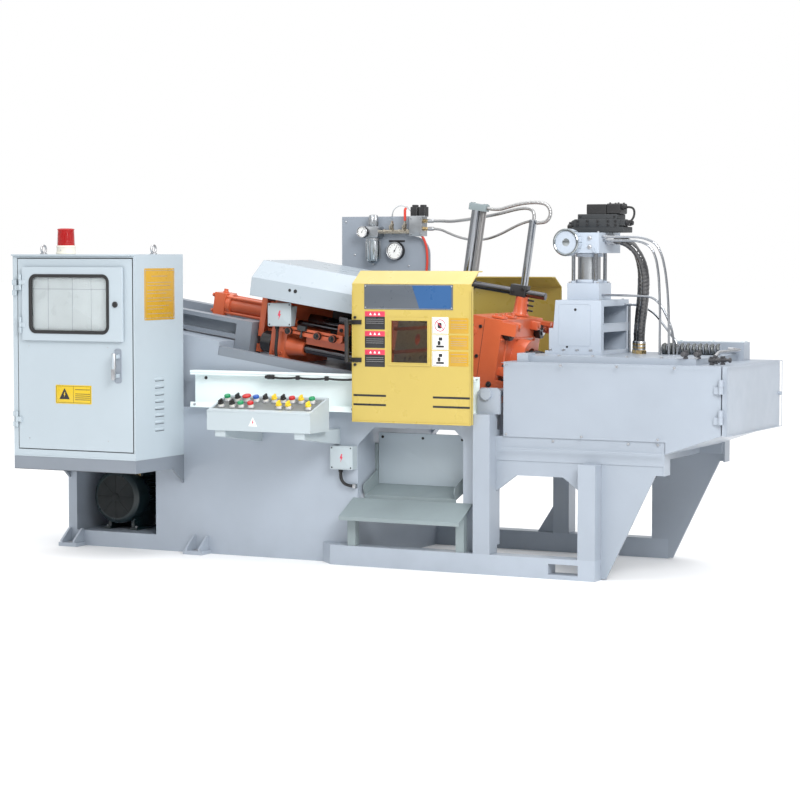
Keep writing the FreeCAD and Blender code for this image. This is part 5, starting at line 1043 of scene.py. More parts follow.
def build_spray_gear():
    """Pedestal, clamps, rods, mast and column that carry the spray hoses."""
    base = put(turned([(46, 0), (46, 9), (41, 12), (38, 20), (35, 60), (34, 100)], 36),
               on_slope(MAST_S, MAST_Y, 200), SLOPE_UP)
    add_piece("spray_pedestal", base, "orange", stands_for=["spray_stand"])
    clamps = join(slope_brick((1107, 116, 298), (1195, 176, 356), 5, 2.5),
                  slope_brick((819, 118, 292), (889, 170, 344), 5, 2.5))
    screws = [put(cap_screw(7, 9), on_slope(s, y, n), FRONT) for s, y,
              n in ((1122, 116, CROSS_ROD_LEVEL), (1180, 116, 340), (832, 118, CROSS_ROD_LEVEL),
                    (876, 118, CROSS_ROD_LEVEL))]
    side = [slope_rod((1199, MAST_Y, n), (1236, MAST_Y, n), 5, 12) for n in (232, 258, 284)]
    side += [put(hex_head(8, 7), on_slope(1201, MAST_Y, n), SLOPE) for n in (232, 258, 284)]
    add_piece("spray_clamps", join(clamps, *screws, *side), "black")
    add_piece("spray_cross_rod", slope_rod((855, CROSS_ROD_Y, CROSS_ROD_LEVEL),
                                           (1300, CROSS_ROD_Y, CROSS_ROD_LEVEL), 19, 28, 2), "dark_chrome")
    mast = slope_rod((MAST_S, MAST_Y, 340), (MAST_S, MAST_Y, 695), 19, 28, 2)
    column = slope_rod((COLUMN_S, CROSS_ROD_Y, 338), (COLUMN_S, CROSS_ROD_Y, 702), 23, 28, 1)
    add_piece("spray_mast", join(mast, column), "chrome")
    cap = join(slope_brick((811, 118, 699), (907, 170, 734), 4, 3),
               *[put(cap_screw(6, 5), on_slope(s, y, 733), SLOPE_UP) for s in (822, 896)
                 for y in (128, 160)])
    add_piece("spray_column_cap", cap, "tray")
    n = np.arange(0, 337, 1.5)
    ribs = np.column_stack([16.2 + 1.4 * np.cos(n * 2 * math.pi / 6), n])
    add_piece("spray_column_hose", put(turned(ribs, 20), on_slope(887, CROSS_ROD_Y, 364), SLOPE_UP), "braid")


def build_hood():
    """Plugs, hems and stay screws of the hood, and a dark sheet under its far side that is painted shade."""
    plugs = [put(turned([(r, 0), (r, 1.5), (r * 0.8, 2.6), (r * 0.3, 2.8)], 20), on_slope(s, -350, 168),
                 FRONT) for s, r in ((86, 8), (120, 10))]
    add_piece("hood_plugs", join(*plugs), "rubber")
    hem = [slope_brick((-148, -352, 106), (640, -348, 112), 1.5, 1, "front"),
           slope_brick((-148, 348, 106), (640, 352, 112), 1.5, 1, "front")]
    add_piece("hood_hems", join(*hem), "hood")
    # A dark rubber sheet at the far side under the hood: painted shade of the space beneath it.
    shade_sheet = slope_brick((-140, 343.4, -150), (600, 345.8, 130), 2, 0.8, "front")
    add_piece("hood_painted_shade_sheet", shade_sheet, "rubber")
    screws = [put(dome_screw(6), on_slope(s, y, 290), SLOPE_UP) for s in (-120, 0, 600) for y in (-225, 225)]
    add_piece("hood_screws", join(*screws), "zinc")


# ---------------------------------------------------------------- air panel

def dial(radius, thick):
    """Round gauge: cased rim with a raised lip and a flat face."""
    return turned([(radius * 0.96, 0), (radius, 2), (radius, thick - 5), (radius * 0.97, thick),
                   (radius * 0.86, thick), (radius * 0.84, thick - 4), (radius * 0.5, thick - 4.2)], 40)


def dial_marks(radius, depth):
    """Ticks round three quarters of a gauge face, and its pointer."""
    ticks = []
    for k in range(11):
        a = math.radians(225 - 27 * k)
        start, end = radius * 0.62, radius * 0.78
        ticks.append(rod_between((start * math.cos(a), start * math.sin(a), depth),
                                 (end * math.cos(a), end * math.sin(a), depth), radius * 0.022, 6, 0.1))
    a = math.radians(60)
    pointer = rod_between((-0.2 * radius * math.cos(a), -0.2 * radius * math.sin(a), depth + 0.4),
                          (0.62 * radius * math.cos(a), 0.62 * radius * math.sin(a), depth + 0.4),
                          radius * 0.03, 6, 0.1)
    return join(pointer, turned([(radius * 0.09, depth - 0.5), (radius * 0.09, depth + 1.6),
                                 (1, depth + 1.8)], 16), *ticks)


# Face of the air panel, and the middles of what it carries.
PANEL_FACE = 455
FILTER_X = 194
FILTER_Y = 414
GAUGE_X = 319
GAUGE_Z = 1582
SMALL_GAUGE_X = 149
SMALL_GAUGE_Z = 1684
MANIFOLD_Y = 418


def build_air_set():
    """Filter regulator, gauges, brass manifold, valve block and solenoids on the air panel."""
    head = join(brick((160, 381, 1652), (240, PANEL_FACE, 1714), 12, 3, FRONT),
                put(turned([(38, 0), (40, 4), (40, 14), (36, 16)], 32), (FILTER_X, FILTER_Y, 1636)))
    knob = put(fluted(27, 1.4, 24, [(0.9, 0), (1, 4), (1, 40), (0.93, 46), (0.86, 58), (0.4, 62)]),
               (196, 415, 1716))
    add_piece("filter_head", join(head, knob), "cast_alloy", stands_for=["air_set"])
    bowl = turned([(39, 0), (39, -6), (37.5, -92), (33, -110), (22, -120), (11, -124)], 36)
    guard = [put(slab(7, 100, 2, 2.5, 0.8), (FILTER_X + 39.6 * math.sin(a), FILTER_Y - 39.6 * math.cos(a),
                                             1586), (math.sin(a), -math.cos(a), 0))
             for a in np.arange(8) * math.pi / 4]
    add_piece("filter_bowl", put(bowl, (FILTER_X, FILTER_Y, 1638)), "bowl_metal")
    add_piece("filter_bowl_guard", join(*guard, put(turned([(12, 0), (12, -6), (7, -8), (7, -14), (4, -15)],
                                                           16), (FILTER_X, FILTER_Y, 1522))), "cast_alloy")
    add_piece("gauge_cases", join(put(dial(32, 30), (SMALL_GAUGE_X, 397, SMALL_GAUGE_Z), FRONT),
                                  put(dial(49, 34), (GAUGE_X, PANEL_FACE, GAUGE_Z), FRONT),
                                  rod_between((150, 400, SMALL_GAUGE_Z), (170, 430, SMALL_GAUGE_Z), 7)),
              "handle")
    gauges = (((45.8, 3.0), [(41, 0), (41, 0.8), (5, 0.9)], 36, 45.5, GAUGE_X, 421.5, GAUGE_Z),
              ((29.6, 2.0), [(26.6, 0), (26.6, 0.8), (3, 0.9)], 32, 30, SMALL_GAUGE_X, 367.5, SMALL_GAUGE_Z))
    rims, discs, marks = [], [], []
    for rim, disc, sides, reach, x, y, z in gauges:
        rims.append(put(wheel_ring(*rim), (x, y, z), FRONT))
        discs.append(put(turned(disc, sides), (x, y + 3.7, z), FRONT))
        marks.append(put(dial_marks(reach, 0), (x, y + 2.4, z), FRONT))
    add_piece("gauge_rims", join(*rims), "zinc")
    add_piece("gauge_faces", join(*discs), "sticker_white")
    add_piece("gauge_marks", join(*marks), "sticker_black", slot="black_steel")
    bar = join(brick((239, 405, 1675), (420, 431, 1695), 3, 1.5, FRONT),
               brick((300, 430, 1675), (330, PANEL_FACE, 1695), 2, 1, FRONT))
    taps = []
    for tap in (308, 386):
        taps += [put(turned([(12, 0), (12, 8), (9, 9), (9, 20), (11, 21), (11, 34), (8, 36), (7, 50)], 6),
                     (tap, MANIFOLD_Y, 1694)), rod_between((tap, 405, 1703), (tap, 392, 1703), 5, 12),
                 put(slab(9, 26, 4, 2, 1), (tap, 392, 1707), FRONT)]
    ends = [rod_between((258 + 46 * k, MANIFOLD_Y, 1685), (268 + 46 * k, MANIFOLD_Y, 1685), 15, 6)
            for k in range(4)]
    add_piece("brass_manifold", join(bar, *taps, *ends), "nickel")
    block = join(brick((421, 397, 1660), (497, 463, 1768), 3, 2, FRONT),
                 brick((428, 401, 1764), (512, 449, 1770), 2, 1))
    bolts = [put(cap_screw(5, 4), (a, 397, z), FRONT) for a in (431, 487) for z in (1672, 1756)]
    add_piece("air_valve_block", join(block, *bolts), "cast_alloy")
    coils = [brick((a, 403, 1769), (a + 42, 447, 1818), 5, 3) for a in (425, 473)]
    coils += [brick((a + 8, 408, 1816), (a + 34, 440, 1829), 4, 3) for a in (425, 473)]
    add_piece("air_solenoids", join(*coils), "handle")
    fits = [put(turned([(12, 0), (12, 9), (9, 10), (9, 18), (10.5, 19), (10.5, 28)], 6), (496, 423, z),
                RIGHT) for z in (1742, 1700)]
    add_piece("air_fittings", join(*fits), "brass")
    screws = studs(6, [(x, PANEL_FACE, z) for x, z in ((5, 1740), (5, 1400), (390, 1500), (60, 1560))])
    add_piece("air_panel_screws", screws, "zinc")
    bracket = brick((271, 450, 1630), (367, 456, 1640), 2, 1, FRONT)
    add_piece("air_gauge_bracket", bracket, "black")


# ---------------------------------------------------------------- injection unit

# Axis of the shot cylinder, levels and faces of its stand and manifold, and the wheel's middle.
SHOT_X = 1631
STAND_FACE = -183
FLANGE_TOP = 1088
STAND_TOP = 1421
WHEEL_X = 1582
WHEEL_Z = 1623
MANIFOLD_FRONT = -140


def build_injection():
    """Recessed cover, foot bolts, window lips, flange screws, cylinder rings and the wrapped hand wheel."""
    rim = put(border(170, 205, 12, [(-1.4, -0.4), (1.4, -0.4), (0.9, 1.0), (-0.9, 1.0)]),
              (1630, STAND_FACE, 1216), FRONT)
    add_piece("stand_cover_edge", rim, "casting")
    # Flat black discs on the stand: painted shade inside two holes.
    hole = put(turned([(7, 0), (7, 0.7), (4, 0.8)], 20), (1634, STAND_FACE, 1292), FRONT)
    dark = [put(turned([(6, 0), (6, 0.7), (3, 0.8)], 20), (1590, STAND_FACE, 1108), FRONT)]
    add_piece("stand_hole_shade", join(hole, *dark), "black")
    foot = [put(hex_head(9, 9), (x, a * 187, FLANGE_TOP)) for x in (1502, 1574, 1646, 1718) for a in (-1, 1)]
    foot += [put(hex_head(9, 9), (1486, y, FLANGE_TOP)) for y in (-110, 0, 110)]
    flange = [put(cap_screw(7, 7), (x, y, STAND_TOP)) for x in (1556, 1706) for y in (-68, 68)]
    flange += [put(hex_head(8, 8), (1752, y, 1334)) for y in (-150, 150)]
    add_piece("stand_bolts", join(*foot, *flange), "zinc")
    lips = []
    for low, high in ((1219, 1312), (1086, 1185)):
        opening = border(314, high - low, 12, [(-5, -3), (1, -3), (1, 1.5), (-4, 1.5)])
        lips.append(put(opening, (1771, 0, (low + high) / 2), RIGHT))
    add_piece("stand_window_lips", join(*lips), "casting")
    rings = [put(turned([(66, 0), (68, 2), (68, 16), (66, 18)], 40), (SHOT_X, 0, z))
             for z in (STAND_TOP, 1551)]
    nuts = [put(hex_head(13, 12), (SHOT_X + a * 60, b * 60, STAND_TOP)) for a in (-1, 1) for b in (-1, 1)]
    add_piece("shot_cylinder_rings", join(*rings, *nuts), "casting")
    rods = [rod_between((SHOT_X + a * 60, b * 60, 1424), (SHOT_X + a * 60, b * 60, 1569), 9.4, 16)
            for a in (-1, 1) for b in (-1, 1)]
    tube = rod_between((SHOT_X, 0, 1436), (SHOT_X, 0, 1553), 56.5, 48)
    add_piece("shot_cylinder_rods", join(*rods), "chrome")
    add_piece("shot_cylinder_tube", tube, "cast_alloy")
    wheel = [put(wheel_ring(62, 6.5, 56), (WHEEL_X, -186, WHEEL_Z), FRONT),
             put(wheel_ring(62, 5, 56), (WHEEL_X, -148, WHEEL_Z), FRONT)]
    disc = put(turned([(68.3, 0), (68.4, 40), (56, 43), (50, 36), (24, 34), (20, 44), (8, 47)], 14),
               (WHEEL_X, MANIFOLD_FRONT, WHEEL_Z), FRONT)
    add_piece("shot_wheel", join(*wheel, disc), "film_chrome")
    top = [put(cap_screw(6, 6), (x, y, 1671)) for x in (1530, 1728) for y in (-120, 120)]
    side = [put(hex_head(10, 9), (1690, MANIFOLD_FRONT, z), FRONT) for z in (1600, 1644)]
    add_piece("manifold_screws", join(*top, *side), "zinc")
    plugs = [put(turned([(13, 0), (13, 6), (8, 7), (7.6, 3)], 6), (1728 - 12, MANIFOLD_FRONT, 1586), FRONT),
             put(turned([(15, 0), (15, 6), (9, 7), (8.6, 3)], 6), (1514, 60, 1620), LEFT)]
    add_piece("manifold_plugs", join(*plugs), "casting")


def build_valves():
    """Stacked servo valve: sandwich blocks, end covers, screws, adjusting knob and the pilot on top."""
    blocks = join(brick((1560, -60, 1671), (1836, 60, 1700), 4, 2, FRONT),
                  brick((1572, -62, 1698), (1812, 62, 1738), 5, 3, FRONT),
                  brick((1557, -50, 1704), (1838, 50, 1734), 6, 3, FRONT),
                  brick((1590, -56, 1736), (1800, 56, 1763), 4, 2.5, FRONT))
    add_piece("valve_blocks", blocks, "valve", stands_for=["shot_valves"])
    pilot = join(brick((1634, -48, 1761), (1740, 48, 1812), 5, 3, FRONT),
                 brick((1744, -50, 1763), (1813, 50, 1815), 8, 4, RIGHT),
                 rod_between((1738, 0, 1788), (1746, 0, 1788), 22))
    add_piece("pilot_valve", pilot, "handle")
    screws = [put(cap_screw(6.5, 6), (x, -62, z), FRONT) for x in (1590, 1645, 1700, 1755, 1795)
              for z in (1708, 1728)]
    screws += [put(cap_screw(5.5, 5), (x, -56, 1750), FRONT) for x in (1604, 1786)]
    screws += [put(cap_screw(5, 5), (x, y, 1815), UP) for x in (1756, 1800) for y in (-36, 36)]
    ends = [put(turned([(16, 0), (16, 8), (12, 10), (12, 16), (6, 17)], 6), (1838, y, 1719), RIGHT)
            for y in (-26, 26)]
    knob = [put(turned([(9, 0), (9, 14), (15, 15), (15, 40), (12, 43)], 24), (1559, 0, 1701), LEFT),
            put(turned([(12, 0), (12, 7), (7, 9), (7, 20)], 6), (1557, -34, 1719), LEFT)]
    add_piece("valve_screws", join(*screws, *ends, *knob), "black")
    plug = put(turned([(14, 0), (14, 10), (11, 12), (11, 22), (7, 26)], 16), (1813, -18, 1797), RIGHT)
    add_piece("pilot_plug", plug, "rubber")


# ---------------------------------------------------------------- furnace

# Front and top of the furnace, and the line of the gas pipe.
FURNACE_FRONT = -495
COVER_TOP = 1072
PIPE_X = 2384


def build_furnace_fittings():
    """Screws, seams, burner coil, taps, gas pipe and box lid round the furnace."""
    cover = [put(hex_head(8, 7), (x, -412, COVER_TOP)) for x in np.linspace(1470, 2350, 6)]
    cover += [put(hex_head(8, 7), (x, 240, COVER_TOP)) for x in np.linspace(1470, 2000, 4)]
    front = [put(cap_screw(7, 6), (x, FURNACE_FRONT, 1030), FRONT) for x in (1400, 1690, 1980, 2270)]
    beam = [put(cap_screw(6.5, 6), (x, -465, 662), FRONT) for x in (1262, 1640, 2030, 2180)]
    low = [put(cap_screw(6.5, 6), (x, FURNACE_FRONT, 690), FRONT) for x in (1404, 1800, 2190)]
    add_piece("furnace_screws", join(*cover, *front, *beam, *low), "zinc")
    seam = [brick((1377, -496, 1037.5), (2482, -494.6, 1039.5), 0.6, 0.4, FRONT)]
    seam += [brick((2390, -380, 1041), (2393, 180, 1042.6), 0.6, 0.4)]
    add_piece("furnace_seams", join(*seam), "panel")
    turn = np.linspace(0, 9.5 * 2 * math.pi, 360)
    helix = np.column_stack([2012 + turn / (2 * math.pi) * 31, 40 + 30 * np.cos(turn),
                             1098 + 22 * np.sin(turn)])
    coil = along_path(helix, circle(8.5, 10), (1, 0, 0))
    ribs = np.arange(0, 302, 2.0)
    core = put(turned(np.column_stack([26.4 + 0.8 * np.cos(ribs * 2 * math.pi / 8), ribs]), 24),
               (2009.5, 40, 1096), RIGHT)
    add_piece("burner_coil", coil, "braid_dark")
    add_piece("burner_coil_core", core, "cast_iron")
    taps = []
    for x, y, turn_out in ((2296, -415, FRONT), (2352, -392, FRONT), (2404, -352, RIGHT),
                           (2440, -300, RIGHT), (2385, -250, RIGHT)):
        level = 1042 if x > PIPE_X else COVER_TOP
        taps += [put(turned([(13, 0), (13, 7), (9, 8), (9, 30), (12, 31), (12, 40)], 6), (x, y, level)),
                 put(turned([(11, -14), (11, 16), (7, 17), (7, 30), (12, 31), (12, 40), (8, 42)], 12),
                     (x, y, level + 22), turn_out)]
    add_piece("furnace_taps", join(*taps), "cast_iron")
    pipe = along_path(np.array([[2310, 150, 1098], [2340, 150, 1098], [2378, 120, 1096], [PIPE_X, 40, 1096],
                                [PIPE_X, -60, 1096], [PIPE_X, -200, 1096], [PIPE_X, -250, 1078]], float),
                      circle(8, 10), (0.1, 0.05, 1))
    add_piece("gas_pipe", pipe, "zinc", slot="pipe_grey")
    lid_screws = [put(cap_screw(6, 5), (x, y, 1130)) for x in (2030, 2200, 2370) for y in (184, 246)]
    lid_plate = brick((2012, 172, 1128), (2382, 258, 1131), 3, 1)
    add_piece("gas_box_lid", join(lid_plate, *lid_screws), "white", slot="machine_grey")
    add_piece("furnace_lip", brick((1377, -497, 618), (2217, -494, 624), 1.5, 1, FRONT), "furnace")
    rest = [put(cap_screw(8, 7), (1469, y, 1084)) for y in (-395, -340)]
    add_piece("rest_screws", join(*rest), "black")


def build_furnace_door():
    """Pressed edge that swings with the furnace door."""
    edge = put(border(805, 328, 4, [(-4, -0.5), (0, -0.5), (-0.6, 1.4), (-3.4, 1.4)]), (2535.4, -92.5, 878),
               RIGHT)
    add_piece("furnace_door_edge", edge, "furnace", body="furnace_leaf")


# ---------------------------------------------------------------- chute and frame

def build_chute():
    """Black screws and back sheet of the casting chute."""
    screws = [put(cap_screw(7, 6), (x, -251, 632), FRONT) for x in (600, 830, 1052)]
    add_piece("chute_screws", join(*screws), "black")
    panel = brick((577, -252, 392), (1080, -250, 654), 2, 0.8, FRONT)
    add_piece("chute_back_sheet", panel, "cabinet", slot="machine_grey")


def build_feet():
    """Washers round the anchor holes of the floor feet."""
    holes = [(x, a * 495) for x in (-1157.5, -370.5) for a in (-1, 1)]
    rings = [put(turned([(21, 0), (21, 2.5), (20, 3.2), (12.2, 3.2), (12, 0.2)], 28), (x, y, 20)) for x,
             y in holes]
    add_piece("foot_washers", join(*rings), "zinc")


# ---------------------------------------------------------------- hoses

def hose_line(points):
    """Centre line of a hose: a NURBS spline of order 3 on its route, read back as points."""
    curve = bpy.data.curves.new("hose_line", "CURVE")
    curve.dimensions = "3D"
    curve.resolution_u = 16
    spline = curve.splines.new("NURBS")
    spline.points.add(len(points) - 1)
    for knot, place in zip(spline.points, points):
        knot.co = (*place, 1)
    spline.order_u = 3
    spline.use_endpoint_u = True
    holder = bpy.data.objects.new("hose_line", curve)
    bpy.context.scene.collection.objects.link(holder)
    mesh = bpy.data.meshes.new_from_object(holder)
    line = np.empty(len(mesh.vertices) * 3, np.float32)
    mesh.vertices.foreach_get("co", line)
    bpy.data.objects.remove(holder)
    bpy.data.curves.remove(curve)
    return line.reshape(-1, 3).astype(float)


def even_steps(line, step):
    """The line's points again at equal distances along it."""
    run = np.concatenate([[0], np.cumsum(np.linalg.norm(np.diff(line, axis=0), axis=1))])
    wanted = np.linspace(0, run[-1], max(3, int(run[-1] / step)))
    return np.column_stack([np.interp(wanted, run, line[:, k]) for k in range(3)]), wanted


def plain_skin(angle, run, radius):
    """Smooth hose: the same radius everywhere."""
    return np.full(np.broadcast(angle, run).shape, radius)


def wrapped_skin(angle, run, radius):
    """Loose film: a few slow waves round and along the hose, none lower than 0.5 mm under its radius."""
    slow = np.sin(3 * angle + run / 9) * np.sin(run / 5.3)
    waves = slow + 0.6 * np.sin(5 * angle - run / 6.1) + 0.5 * np.sin(run / 2.9 + angle)
    return radius - 0.4 + 0.45 * waves


def ribbed_skin(angle, run, radius):
    """Corrugated hose: the radius is a wave along the run."""
    return radius - 0.6 + 0.6 * np.cos(run * 2 * math.pi / 4) + 0 * angle


def braided_skin(angle, run, radius):
    """Braid: two crossing helical waves on the radius."""
    return radius - 0.25 + 0.25 * np.cos(4 * angle + run / 1.6) * np.cos(4 * angle - run / 1.6)


def add_hose(name, points, radius, skin_of, finish, slot, stands_for=(), step=2.5):
    """A hose along its route, its skin a function of angle and distance."""
    line = hose_line(points)
    path, run = even_steps(line / MM, step)
    angle = np.arange(14) * 2 * math.pi / 14
    reach = skin_of(angle[None, :], run[:, None], radius)
    section = np.stack([reach * np.cos(angle), reach * np.sin(angle)], -1)
    piece = add_piece(name, along_path(path, section, HOSE_SIDE[name]), finish, slot=slot,
                      stands_for=stands_for)
    return piece


HOSE_SIDE = {"oil_hose_1": (0, 1, 0), "oil_hose_2": (0, 1, 0), "spray_hose_1": (0, 0.25, 1),
             "spray_hose_2": (0.1, 0.2, 1), "spray_hose_3": (0.1, 0.2, 1), "pilot_cable": (0, 1, 0),
             "box_cable": (0, 1, 0), "switch_conduit": (0, 1, 0), "air_hose_red": (0, 1, 0),
             "air_tube_clear": (0, 1, 0)}


def hose_points(start, steps):
    """Route in metres: each step counted from the start, both in millimetres."""
    return [tuple((a + b) * MM for a, b in zip(start, step)) for step in steps]


# Where the two oil hoses meet the furnace cover.
HOSE_FEET = ((1862, 73), (1902, 14))


def build_hoses():
    """Oil and spray hoses, each on its own route, with their fittings."""
    high = (1740, 0, 1072)
    slope_start = (0, 0, 1225)
    add_hose("oil_hose_1", hose_points(high, [
        (0, 42, 564), (56, 42, 564), (104, 46, 538), (134, 54, 484), (148, 62, 412),
        (146, 66, 332), (138, 70, 248), (128, 72, 164), (122, 73, 90), (122, 73, 20)]),
        21, wrapped_skin, "film_black", "hose_black", ["oil_hoses"])
    add_hose("oil_hose_2", hose_points(high, [
        (0, -44, 564), (70, -44, 564), (132, -34, 534), (174, -18, 474), (192, -6, 396),
        (190, 2, 312), (180, 8, 228), (168, 12, 152), (162, 14, 88), (162, 14, 20)]),
        21, wrapped_skin, "film_black", "hose_black", ["oil_hoses"])
    add_hose("spray_hose_1", hose_points(slope_start, [
        (1005, 144, 575), (1062, 144, 566), (1124, 141, 582), (1196, 138, 599), (1268, 138, 604),
        (1319, 140, 600), (1343, 142, 587), (1356, 144, 563), (1356, 146, 537), (1343, 148, 513),
        (1319, 149, 500), (1278, 150, 499)]),
        10, ribbed_skin, "braid", "pipe_grey", ["spray_hoses"])
    add_hose("spray_hose_2", hose_points(slope_start, [
        (525, 423, 517), (600, 423, 517), (680, 376, 512), (764, 326, 517), (850, 280, 524),
        (940, 236, 534), (1030, 200, 545), (1104, 182, 560), (1166, 170, 572), (1214, 162, 576),
        (1246, 156, 568), (1264, 152, 548), (1262, 150.5, 515.5)]),
        9, braided_skin, "braid", "pipe_grey", ["spray_hoses"])
    add_hose("spray_hose_3", hose_points(slope_start,
                                         [(525, 423, 475), (590, 423, 475), (664, 380, 452),
                                          (740, 330, 432), (816, 284, 418), (896, 244, 412),
                                          (980, 214, 420), (1060, 190, 444), (1130, 172, 474),
                                          (1196, 160, 500), (1236, 154, 508)]), 7, braided_skin, "braid",
             "pipe_grey", ["spray_hoses"])
    nut = turned([(27, 0), (27, 12), (24, 14), (24, 30), (23, 44), (22, 46)], 6)
    collar = turned([(24.5, 0), (24.5, 40), (23, 44)], 28)
    top = [put(nut, (1740, y, 1636), RIGHT) for y in (42, -44)]
    feet = [put(collar, (x, y, 1090)) for x, y in HOSE_FEET]
    add_piece("oil_hose_ferrules", join(*top, *feet), "zinc")
    hexes = [put(turned([(30, 0), (30, 16), (27, 18)], 6), (x, y, 1072)) for x, y in HOSE_FEET]
    bands = [put(turned([(25.2, 0), (25.2, 9)], 28), (x, y, z)) for x, y in HOSE_FEET for z in (1098, 1114)]
    add_piece("oil_hose_nuts", join(*hexes, *bands), "brass")
    ends = [put(turned([(11, 0), (11, 30), (9, 33)], 16), place, out) for place, out in
            (((525, 423, 1742), RIGHT), ((525, 423, 1700), RIGHT))]
    add_piece("spray_hose_ferrules", join(*ends), "zinc")


def build_cables():
    """Cables of the pilot valve, the lower box and the limit switches, and the air tubes."""
    add_hose("pilot_cable", hose_points((0, 0, 0), [(1836, -18, 1797), (1858, -18, 1797), (1874, -18, 1788),
                                                    (1878, -18, 1768), (1874, -20, 1746), (1864, -24, 1730),
                                                    (1852, -26, 1719)]), 6, ribbed_skin, "rubber",
             "hose_black")
    add_hose("box_cable", hose_points((0, 0, 0), [(474, -473, 462), (474, -473, 440), (482, -473, 418),
                                                  (500, -473, 402), (524, -470, 396), (548, -466, 394)]), 8,
             plain_skin, "rubber", "hose_black")
    add_hose("switch_conduit", hose_points((0, 0, 0),
                                           [(-14, -266, 1174), (-14, -267, 1140), (-18, -268, 1106),
                                            (-22, -268, 1070), (-20, -267, 1036), (-17, -266, 1008)]), 9,
             ribbed_skin, "rubber", "hose_black")
    add_hose("air_hose_red", hose_points((0, 0, 0),
                                         [(434, 418, 1685), (452, 418, 1684), (476, 424, 1672),
                                          (494, 432, 1646), (504, 440, 1606), (507, 444, 1560),
                                          (506, 446, 1510), (500, 446, 1460), (492, 446, 1420)]), 6.5,
             plain_skin, "orange_hose", "beacon_red")
    add_hose("air_tube_clear", hose_points((0, 0, 0),
                                           [(308, 418, 1746), (308, 418, 1776), (316, 416, 1800),
                                            (336, 414, 1818), (362, 412, 1826), (392, 412, 1822),
                                            (414, 414, 1806), (426, 418, 1790)]), 4, plain_skin, "bowl",
             "pipe_grey")
    ends = [rod_between((386, 418, 1744), (386, 418, 1802), 7, 14),
            rod_between((386, 418, 1800), (386, 428, 1812), 7, 14)]
    add_piece("air_plug_red", join(*ends), "orange_hose")
    clip = brick((543, -478, 384), (560, -456, 406), 3, 1.5, FRONT)
    block = slope_brick((-34, -274, -212), (2, -250, -190), 4, 2, "front")
    add_piece("cable_clips", join(clip, block), "zinc")


# ---------------------------------------------------------------- stage

# Name, place, size in metres and share of the key light's power of each lamp.
LAMPS = (
    ("key_light", (5.6, -5.0, 4.6), 3.0, 1.0),
    ("left_light", (-5.5, -6.0, 5.0), 3.5, 0.12),
    ("top_light", (0.3, 0.6, 6.5), 4.0, 0.2),
)
LAMPS_AIM = (0.6, 0, 0.7)
CAMERA_PLACE = (6.175, -10.968, 1.5675)
FLOOR_HALF = 90
FLOOR_TONES = ((0.88, 0.88, 0.88), (0.90, 0.90, 0.90))


def build_stage(stage):
    """Pale floor, three soft lights, light from all round and the camera."""
    angle = math.radians(stage.camera_turn)
    side = np.linspace(-FLOOR_HALF, FLOOR_HALF, 7)
    points = np.stack([*np.meshgrid(side, side, indexing="ij"), np.zeros((7, 7))], -1).reshape(-1, 3)
    index = np.arange(49).reshape(7, 7)
    squares = np.stack([index[:-1, :-1], index[1:, :-1], index[1:, 1:], index[:-1, 1:]], -1).reshape(-1, 4)
    mesh = bpy.data.meshes.new("studio_floor")
    mesh.from_pydata(points, [], squares)
    material, tree, shader = blank_material("studio_white")
    tone = blend_colours(tree, spread(tree, noise_on_object(tree, 0.7, 2), 0, 1), *FLOOR_TONES)
    tree.links.new(tone, shader.inputs["Base Color"])
    shader.inputs["Roughness"].default_value = 0.9
    mesh.materials.append(material)
    floor = bpy.data.objects.new("studio_floor", mesh)
    bpy.context.scene.collection.objects.link(floor)

    world = bpy.data.worlds.new("studio_air")
    bpy.context.scene.world = world
    world.use_nodes = True
    tree = world.node_tree
    air = tree.nodes["Background"]
    air.inputs[0].default_value = (0.985, 0.99, 1.0, 1)
    seen = tree.nodes.new("ShaderNodeBackground")
    seen.inputs[0].default_value = (1, 1, 1, 1)
    around = tree.nodes.new("ShaderNodeTexCoord")
    split = tree.nodes.new("ShaderNodeSeparateXYZ")
    tree.links.new(around.outputs["Generated"], split.inputs[0])
    height = tree.nodes.new("ShaderNodeMapRange")
    tree.links.new(split.outputs["Z"], height.inputs["Value"])
    height.inputs["To Min"].default_value = stage.fill * 0.42
    height.inputs["To Max"].default_value = stage.fill * 1.75
    tree.links.new(height.outputs["Result"], air.inputs["Strength"])
    rays = tree.nodes.new("ShaderNodeLightPath")
    either = tree.nodes.new("ShaderNodeMixShader")
    tree.links.new(rays.outputs["Is Camera Ray"], either.inputs[0])
    tree.links.new(air.outputs[0], either.inputs[1])
    tree.links.new(seen.outputs[0], either.inputs[2])
    tree.links.new(either.outputs[0], tree.nodes["World Output"].inputs["Surface"])
    for name, place, size, share in LAMPS:
        lamp = bpy.data.lights.new(name, "AREA")
        lamp.shape = "SQUARE"
        lamp.size = size
        lamp.energy = stage.key * share
        holder = bpy.data.objects.new(name, lamp)
        holder.location = place
        holder.rotation_euler = (Vector(LAMPS_AIM) - Vector(place)).to_track_quat("-Z", "Y").to_euler()
        bpy.context.scene.collection.objects.link(holder)

    lens = bpy.data.cameras.new("camera")
    lens.sensor_width = 36
    lens.lens = stage.lens
    lens.clip_end = 200
    camera = bpy.data.objects.new("camera", lens)
    camera.location = CAMERA_PLACE
    camera.rotation_euler = (math.radians(90 - stage.camera_drop), 0, angle)
    bpy.context.scene.collection.objects.link(camera)
    bpy.context.scene.camera = camera
    bpy.context.scene.view_settings.view_transform = "Standard"


# ---------------------------------------------------------------- settings

def colour_setting(name, text, value):
    """A colour that a user can change."""
    return bpy.props.FloatVectorProperty(name=name, description=text, subtype="COLOR", size=3, min=0, max=1,
                                         default=value)


